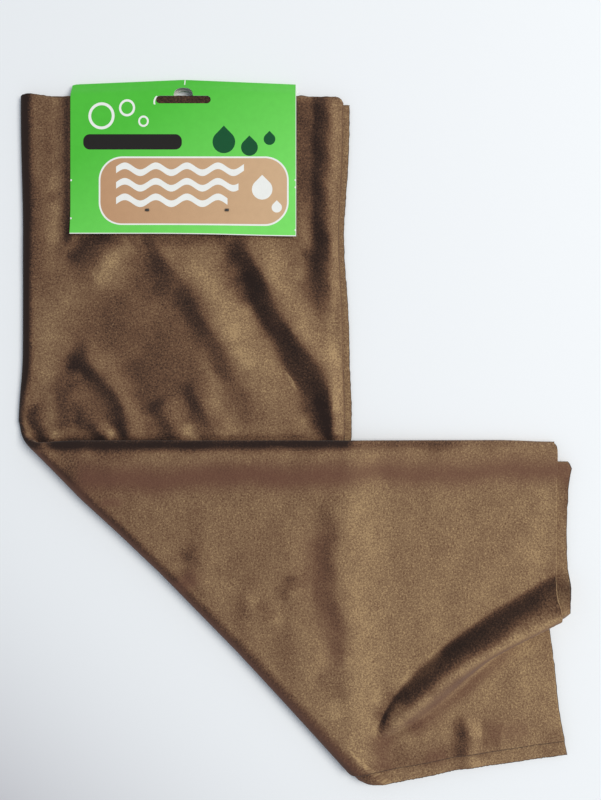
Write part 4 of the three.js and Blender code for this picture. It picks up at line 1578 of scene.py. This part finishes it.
@dataclass(frozen=True)
class PrintedCard:
    """Coated board printed bright green with plain shapes: satin, white where worn, painted highlight at
    edges.

    Places on the card run right and down from its top left corner. A box is a middle, half its width and
    height and its corner's radius, a drop is a middle and a radius, and a ring has its line's width as well.
    The crack's place is from the crease's middle, a nick's from its side and the flake's from the slot's end.
    The white edge lines, the board's white with a painted highlight, are half the widths of the lower and of
    the right one, and their corners' radius. gleam is how much lighter the green gets across and down the
    card, and what it starts from. wear is the depth of the flecks, and what is left without them.
    """

    green: tuple[str, str] = ("52c43f", "7fe66b")
    tan: tuple[str, str] = ("c09470", "d6b48e")
    black: str = "1f1d1c"
    leaf: str = "12522f"
    white: str = "f4f6f2"
    gleam: Triple = (0.8, 0.9, -0.45)
    panel: Box = ((67.5, 60.0), (52.0, 19.0), 13.0)
    panel_inside: Box = ((67.5, 60.0), (51.1, 18.1), 12.2)
    bar: Box = ((34.0, 33.0), (27.0, 4.2), 3.6)
    green_drops: tuple[tuple[Pair, float], ...] = (((84, 33), 6.2), ((98, 36), 4.6), ((109, 31.5), 3.2))
    white_drops: tuple[tuple[Pair, float], ...] = (((105, 59), 5.6), ((113, 69), 2.8))
    wave_spans: tuple[tuple[Pair, float], ...] = (((25, 95), 48), ((25, 92), 56.5), ((25, 86), 65))
    wave_form: Triple = (17.0, 1.9, 3.6)
    rings: tuple[tuple[Pair, float, float], ...] = (
        ((17, 19), 6.4, 1.5), ((31, 15), 3.8, 1.2), ((40, 22), 2.4, 1.0))
    crack: Box = ((0.4, 1.2), (0.28, 2.2), 0.2)
    white_edges_and_highlight: Triple = (0.45, 0.3, 0.1)
    left_nicks: tuple[float, ...] = (54.0, 75.0)
    right_nicks: tuple[float, ...] = (54.0, 58.0, 81.0)
    nick: Box = ((0.2, 0.0), (0.6, 0.5), 0.2)
    flake_ring: tuple[Pair, float, float] = ((0.3, 0.0), 3.3, 0.9)
    flake: Box = ((-2.6, -0.9), (1.2, 2.1), 0.3)
    fleck_mm: float = 3.846
    fleck_detail: float = 4.0
    wear: Pair = (0.12, 0.94)
    ripple_mm: float = 11.11
    ripple_detail: float = 2.0
    bump_mm: float = 0.12
    bump_strength: float = 0.25
    roughness: float = 0.42
    specular: float = 0.15

    def print_layers(self, masks: PrintMasks, tan: NodeSocket) -> list[tuple[NodeSocket, object]]:
        """Lists the printed shapes: a white-edged tan panel, a near-black bar, drops, waves and bubbles.

        Args:
            masks: what makes the masks.
            tan: the panel's colour.

        Returns:
            Masks and their inks, in the order in which they are laid.
        """
        leaf, white = linear(self.leaf), linear(self.white)
        return [
            (masks.box(*self.panel), white),
            (masks.box(*self.panel_inside), tan),
            (masks.box(*self.bar), linear(self.black)),
            *((masks.drop(*drop), leaf) for drop in self.green_drops),
            *((masks.wave(*wave, *self.wave_form), white) for wave in self.wave_spans),
            *((masks.ring(*ring), white) for ring in self.rings),
            *((masks.drop(*drop), white) for drop in self.white_drops),
        ]

    def wear_and_edge_highlight_layers(self, masks: PrintMasks, card: "HeaderCard") -> list[tuple[NodeSocket, object]]:
        """Lists the white: the folded crack, the lower and right edges with painted highlight, nicks, a torn
        flake.

        Args:
            masks: what makes the masks.
            card: the card, whose sizes place the wear.

        Returns:
            Masks and their inks, in the order in which they are laid.
        """
        wide, high = card.width, card.height
        lower, right, corner = self.white_edges_and_highlight
        inset = self.nick[0][0]
        slot_end = ((wide - card.slot_width + card.slot_height) / 2, card.slot_below)
        boxes = [
            (self.crack, (wide / 2, 0)),
            # The lower and right edges: the board's white edge with a painted highlight
            (((wide / 2, high), (wide, lower), corner), (0, 0)),
            (((wide, high / 2), (right, high), corner), (0, 0)),
            *((self.nick, (0, down)) for down in self.left_nicks),
            *((self.nick, (wide - 2 * inset, down)) for down in self.right_nicks),
        ]
        shown = [masks.box(shifted(box[0], by), *box[1:]) for box, by in boxes]
        torn = add_node(masks.tree, "Math", {
            0: masks.ring(shifted(self.flake_ring[0], slot_end), *self.flake_ring[1:]),
            1: masks.box(shifted(self.flake[0], slot_end), *self.flake[1:])}, operation="MULTIPLY")
        return [(mask, linear(self.white)) for mask in (*shown, torn.outputs[0])]

    def material(self, card: "HeaderCard") -> Material:
        """Builds the print from the card's flat map, in millimetres from the card's top left corner.

        Args:
            card: the card, whose sizes place the print.

        Returns:
            The material.
        """
        made, tree = new_material("printed_board")
        flat = add_node(tree, "UVMap", uv_map="flat").outputs[0]
        gleam = (self.gleam[0] / card.width, self.gleam[1] / card.height, 0)
        slope = add_node(tree, "VectorMath", {0: flat, 1: gleam}, operation="DOT_PRODUCT")
        slope = add_node(tree, "Math", {0: slope.outputs["Value"], 1: self.gleam[2]}, operation="ADD",
                         use_clamp=True)
        across = add_node(tree, "VectorMath", {0: flat, 1: (1 / card.width, 0, 0)}, operation="DOT_PRODUCT")
        # The green is lighter towards the lower right and the tan towards the right, as the gleam leaves them
        shares = {self.green: slope.outputs[0], self.tan: across.outputs["Value"]}
        colour, tan = (add_node(tree, "Mix", {0: share, 6: linear(inks[0]), 7: linear(inks[1])},
                                data_type="RGBA").outputs[2] for inks, share in shares.items())
        masks = PrintMasks(tree, flat)
        for mask, ink in self.print_layers(masks, tan) + self.wear_and_edge_highlight_layers(masks, card):
            colour = add_node(tree, "Mix", {0: mask, 6: colour, 7: ink}, data_type="RGBA").outputs[2]
        where = add_node(tree, "TexCoord").outputs["Object"]
        fleck, ripple = (
            add_node(tree, "TexNoise", {"Vector": where, "Scale": 1 / (size * MM), "Detail": detail})
            for size, detail in ((self.fleck_mm, self.fleck_detail), (self.ripple_mm, self.ripple_detail)))
        wear = add_node(tree, "Math", {0: fleck.outputs["Fac"], 1: self.wear[0], 2: self.wear[1]},
                        operation="MULTIPLY_ADD")
        worn = add_node(tree, "VectorMath", {0: colour, "Scale": wear.outputs[0]}, operation="SCALE")
        end_material(tree, {"Base Color": worn.outputs[0], "Roughness": self.roughness,
                            "Specular IOR Level": self.specular},
                     (ripple.outputs["Fac"], self.bump_strength, self.bump_mm))
        return made


def arc(middle: Pair, radius: float, start: float, sweep: float, count: int) -> list[Pair]:
    """Lays points along an arc.

    Args:
        middle: its middle.
        radius: its radius.
        start: where it starts, in degrees.
        sweep: how far it goes on, in degrees.
        count: how many points it has.

    Returns:
        The points.
    """
    turns = np.radians(np.linspace(start, start + sweep, count))
    return [(middle[0] + radius * math.cos(turn), middle[1] + radius * math.sin(turn)) for turn in turns]


@dataclass
class HeaderCard:
    """The folded header card with its hang hole.

    nick_size is the width and height of the nick at the crease's left end. lower_edge is how far the front
    panel's lower edge rises at its left, and what is added towards its right.
    """

    strip: Strip = Strip()
    printing: PrintedCard = PrintedCard()
    width: float = 123.6
    height: float = 84.2
    thickness: float = 0.45
    inset: float = 27.2
    over_cloth: float = 6.6
    crease_radius: float = 0.9
    crease_rise: float = 2.6
    rise_run: float = 30.0
    crease_rows: int = 8
    front_sinks: Pair = (0.2, 8.1)
    lip_rise: float = 2.0
    lip_run: float = 18.0
    back_bottom: float = 0.9
    front_bottom: float = 6.55
    nick: float = 0.5
    nick_size: Pair = (2.4, 1.8)
    lower_edge: Pair = (0.55, -1.54)
    lower_edge_run: float = 10.0
    lower_edge_swings: Pair = (0.35, 1.0)
    corner_lift: float = 0.5
    lift_across: Pair = (0.8, 1.0)
    lift_start: float = 20.0
    slot_width: float = 30.0
    slot_height: float = 4.2
    slot_below: float = 12.4
    notch_width: float = 10.4
    notch_below: float = 5.6
    notch_corner: float = 4.2
    end_points: int = 13
    corner_points: int = 9
    cutter_bottom: float = -2.0
    cutter_height: float = 14.0
    column_step: float = 2.0
    back_step: float = 3.0
    front_step: float = 1.6
    sharp_angle: float = math.radians(35)

    @property
    def front_rows(self) -> int:
        """How many rows of points the front panel has."""
        return round(self.height / self.front_step)

    def profile(self) -> tuple[Array, Array]:
        """Lays out the card's middle line from its back panel's lower edge to its front panel's.

        Returns:
            Distances below the crease, and heights.
        """
        radius, height = self.crease_radius, self.height
        back_up, front_up = (bottom + self.thickness / 2 for bottom in (self.back_bottom, self.front_bottom))
        back = np.linspace(height, radius, round(height / self.back_step))[:-1]
        turns = np.linspace(0, math.pi, self.crease_rows + 1)[:-1]
        front = np.linspace(radius, height, self.front_rows)
        top = back_up + 2 * radius
        lip = self.lip_rise * np.clip((front - height + self.lip_run) / self.lip_run, 0, 1) ** 2
        front_line = top + (front_up - top) * smooth(front, *self.front_sinks) + lip
        below = np.concatenate([back, radius * (1 - np.sin(turns)), front])
        up = np.concatenate([np.full(len(back), back_up), back_up + radius * (1 - np.cos(turns)), front_line])
        return below, up

    def sheet(self) -> Mesh:
        """Lays the card out as one sheet, with an arched crease, a nicked corner and an uneven lower edge.

        Returns:
            The mesh, with the print's places as its flat map.
        """
        below, up = self.profile()
        columns = round(self.width / self.column_step) + 1
        mesh, column, row = grid_mesh("card_sheet", columns, len(below))
        share, drop, height = column / (columns - 1), below[row], up[row]
        first_front = len(below) - self.front_rows
        front = row >= first_front
        across = self.width * share
        arch = self.crease_rise * (1 - np.abs(2 * share - 1)) * smooth(drop, self.rise_run, 0)
        nicked = np.clip(1 - across / self.nick_size[0], 0, 1) * np.clip(1 - drop / self.nick_size[1], 0, 1)
        low = smooth(drop, self.height - self.lower_edge_run, self.height)
        swing = self.lower_edge[1] * share * smooth(share, *self.lower_edge_swings)
        y = self.over_cloth - drop + arch - self.nick * nicked + front * low * (self.lower_edge[0] + swing)
        lifted = smooth(share, *self.lift_across) * smooth(drop, self.lift_start, self.height)
        z = height + front * self.corner_lift * lifted
        lay_out(mesh, np.stack([across + self.inset, y, z], axis=-1), self.strip.corner)
        on_back = row < first_front - self.crease_rows // 2
        map_flat(mesh, np.stack([across, np.where(on_back, -drop, drop)], axis=1))
        return mesh

    def build(self) -> None:
        """Makes the card with its hole, dresses it and sets what it rides on."""
        mesh = self.sheet()
        printed = self.printing.material(self)
        board = CUT_BOARD.material()
        # The board shows at the cuts and on the side towards the cloth, and the print on the other side
        solid = with_modifier(new_object("card_sheet", mesh, board, printed), "SOLIDIFY", "card_solid",
                              thickness=self.thickness * MM, offset=0.0, material_offset=1)
        bm = bmesh.new()
        bm.from_mesh(solid)
        bmesh.ops.recalc_face_normals(bm, faces=bm.faces)
        bm.to_mesh(solid)
        bm.free()
        cutter = self.hole(board)
        made = with_modifier(new_object("card_solid", solid), "BOOLEAN", "header_card_printed",
                             operation="DIFFERENCE", solver="EXACT", object=cutter)
        bpy.data.objects.remove(cutter)
        smooth_faces(made)
        made.set_sharp_from_angle(angle=self.sharp_angle)
        card = new_object("header_card_printed", made)
        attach(card, "upper")
        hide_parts("header_card")
        LOG.info("header card: %d faces", len(made.polygons))

    def hole(self, board: Material) -> Object:
        """Makes the cutter of the hang hole: a slot with round ends and a rounded notch above it.

        Args:
            board: the finish that the hole's walls get.

        Returns:
            The cutter.
        """
        crease = self.over_cloth + self.crease_rise
        middle, top = crease - self.slot_below, crease - self.notch_below - self.notch_corner
        end = self.slot_height / 2
        slot, right = self.slot_width / 2 - end, self.notch_width / 2
        inside = right - self.notch_corner
        outline = [
            *arc((-slot, middle), end, 90, 180, self.end_points),
            *arc((slot, middle), end, -90, 180, self.end_points),
            (right, middle + end),
            *arc((inside, top), self.notch_corner, 0, 90, self.corner_points),
            *arc((-inside, top), self.notch_corner, 90, 90, self.corner_points),
            (-right, middle + end),
        ]
        left = self.inset + self.width / 2 + self.strip.corner[0]
        bm = bmesh.new()
        ring = [bm.verts.new(Vector((x + left, y + self.strip.corner[1], self.cutter_bottom)) * MM)
                for x, y in outline]
        grown = bmesh.ops.extrude_face_region(bm, geom=[bm.faces.new(ring)])
        lifted = [item for item in grown["geom"] if isinstance(item, bmesh.types.BMVert)]
        bmesh.ops.translate(bm, verts=lifted, vec=Vector((0, 0, self.cutter_height * MM)))
        bmesh.ops.recalc_face_normals(bm, faces=bm.faces)
        return new_object("hole", mesh_from(bm, "hole"), board)


# The tag pins


@dataclass
class TagPins:
    """The two plastic tag pins: a rounded bar on the card's front, one on its back and the thread between."""

    bar: Triple = (2.1, 1.4, 0.6)
    rounding: float = 0.22
    rounding_steps: int = 3
    thread_radius: float = 0.45
    thread_sides: int = 16
    thread_inset: float = 0.25
    sharp_angle: float = math.radians(50)

    def build(self) -> None:
        """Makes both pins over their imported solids."""
        dark = MOULDED_NYLON.material()
        for node in ("tag_pin_left", "tag_pin_right"):
            low, high = (Vector(corner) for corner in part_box(node))
            middle = (low + high) / 2
            bm = bmesh.new()
            for z in (low.z + self.bar[2] * MM / 2, high.z - self.bar[2] * MM / 2):
                made = bmesh.ops.create_cube(bm, size=1.0)
                bmesh.ops.scale(bm, verts=made["verts"], vec=Vector(self.bar) * MM)
                bmesh.ops.translate(bm, verts=made["verts"], vec=Vector((middle.x, middle.y, z)))
            bmesh.ops.bevel(bm, geom=list(bm.edges), offset=self.rounding * MM, offset_type="OFFSET",
                            segments=self.rounding_steps, profile=0.5, affect="EDGES", material=-1)
            radius = self.thread_radius * MM
            thread = bmesh.ops.create_cone(bm, cap_ends=True, segments=self.thread_sides, radius1=radius,
                                           radius2=radius, depth=high.z - low.z - 2 * self.thread_inset * MM)
            bmesh.ops.translate(bm, verts=thread["verts"], vec=middle)
            mesh = mesh_from(bm, node + "_moulded")
            smooth_faces(mesh)
            mesh.set_sharp_from_angle(angle=self.sharp_angle)
            pin = new_object(node + "_moulded", mesh, dark)
            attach(pin, "upper")
            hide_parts(node)
            LOG.info("%s: %d faces", pin.name, len(mesh.polygons))


# The stage


@dataclass
class Studio:
    """A pale table, a broad lamp from the right, a dim pale room and a camera straight above.

    Lengths of the lamp, the table and its dimming are metres, and so is nearest, where the camera's sight
    starts.
    """

    view: Pair = (153.175, -167.75)
    frame_width: float = 330.55
    camera_height: float = 455.0
    cloth_height: float = 5.0
    sensor: float = 36.0
    nearest: float = 0.01
    key_turn: float = math.radians(12)
    key_lift: float = math.radians(56)
    key_distance: float = 2.2
    key_size: float = 1.1
    key_power: float = 34.0
    key_colour: str = "fffaf3"
    room_level: float = 0.46
    room: str = "e9f0fa"
    background: str = "eef1f4"
    table: str = "f6fafd"
    table_half: float = 3.0
    table_roughness: float = 0.9
    table_specular: float = 0.1
    table_shade: str = "cdced3"
    dim_way: Triple = (-0.62, -0.78, 0.0)
    dim_start: float = 0.12
    dim_run: float = 0.15
    dim_end: float = 0.3
    dim_fade: float = 0.9

    def build(self, corner: Pair) -> None:
        """Makes the table, the lamp, the room's light and the camera.

        Args:
            corner: where the cloth's plan lies in the frame, in millimetres.
        """
        centre = Vector((self.view[0] + corner[0], self.view[1] + corner[1], 0)) * MM
        self.build_table()
        self.build_lamp(centre)
        self.build_room()
        camera = bpy.data.cameras.new("camera")
        camera.sensor_fit = "HORIZONTAL"
        camera.sensor_width = self.sensor
        camera.lens = self.sensor * (self.camera_height - self.cloth_height) / self.frame_width
        camera.clip_start = self.nearest
        holder = bpy.data.objects.new("camera", camera)
        holder.location = centre + Vector((0, 0, self.camera_height * MM))
        bpy.context.scene.collection.objects.link(holder)
        bpy.context.scene.camera = holder
        bpy.context.scene.view_settings.view_transform = "Standard"

    def build_table(self) -> None:
        """Makes the pale table top, with painted shade dimming it to the picture's lower left, paler again
        far off.
        """
        bm = bmesh.new()
        bmesh.ops.create_grid(bm, x_segments=1, y_segments=1, size=self.table_half)
        made, tree = new_material("pale_table")
        where = add_node(tree, "TexCoord")
        far = add_node(tree, "VectorMath", {0: where.outputs["Object"], 1: self.dim_way},
                       operation="DOT_PRODUCT").outputs["Value"]
        lines = ((1 / self.dim_run, -self.dim_start / self.dim_run),
                 (-1 / self.dim_fade, 1 + self.dim_end / self.dim_fade))
        past, near = (add_node(tree, "Math", {0: far, 1: gain, 2: start}, operation="MULTIPLY_ADD",
                               use_clamp=True) for gain, start in lines)
        squared = add_node(tree, "Math", {0: past.outputs[0], 1: 2.0}, operation="POWER")
        dim = add_node(tree, "Math", {0: squared.outputs[0], 1: near.outputs[0]}, operation="MULTIPLY")
        # Painted shade: the table's colour darkens towards the lower left
        colour = add_node(tree, "Mix", {0: dim.outputs[0], 6: linear(self.table), 7: linear(self.table_shade)},
                          data_type="RGBA")
        end_material(tree, {"Base Color": colour.outputs[2], "Roughness": self.table_roughness,
                            "Specular IOR Level": self.table_specular})
        new_object("table_top", mesh_from(bm, "table_top"), made)

    def build_lamp(self, centre: Vector) -> None:
        """Makes the broad lamp, aimed at the view's middle.

        Args:
            centre: the view's middle on the table.
        """
        lamp = bpy.data.lights.new("key", "AREA")
        lamp.shape, lamp.size = "SQUARE", self.key_size
        lamp.energy = self.key_power
        lamp.color = linear(self.key_colour)[:3]
        level, turn = math.cos(self.key_lift), self.key_turn
        away = Vector((level * math.cos(turn), level * math.sin(turn), math.sin(self.key_lift)))
        holder = bpy.data.objects.new("key", lamp)
        holder.location = centre + away * self.key_distance
        holder.rotation_euler = away.to_track_quat("Z", "Y").to_euler()
        bpy.context.scene.collection.objects.link(holder)

    def build_room(self) -> None:
        """Makes the room's dim light, and a pale background for the camera and for gloss."""
        world = bpy.data.worlds.new("room")
        bpy.context.scene.world = world
        world.use_nodes = True
        tree = world.node_tree
        tree.nodes.clear()
        path = add_node(tree, "LightPath")
        seen = path.outputs["Is Camera Ray"]
        for ray in ("Is Glossy Ray", "Is Transmission Ray"):
            seen = add_node(tree, "Math", {0: seen, 1: path.outputs[ray]}, operation="MAXIMUM").outputs[0]
        dim = add_node(tree, "Background", {"Color": linear(self.room), "Strength": self.room_level})
        pale = add_node(tree, "Background", {"Color": linear(self.background), "Strength": 1.0})
        mixed = add_node(tree, "MixShader", {0: seen, 1: dim.outputs[0], 2: pale.outputs[0]})
        add_node(tree, "OutputWorld", {"Surface": mixed.outputs[0]})


def main() -> None:
    """Builds the pieces in order."""
    logging.basicConfig(level=logging.INFO, format="%(name)s: %(message)s")
    cloth = FoldedCloth()
    Studio().build(cloth.strip.corner)
    cloth.build()
    HeaderCard().build()
    TagPins().build()


if __name__ == "__main__":
    main()
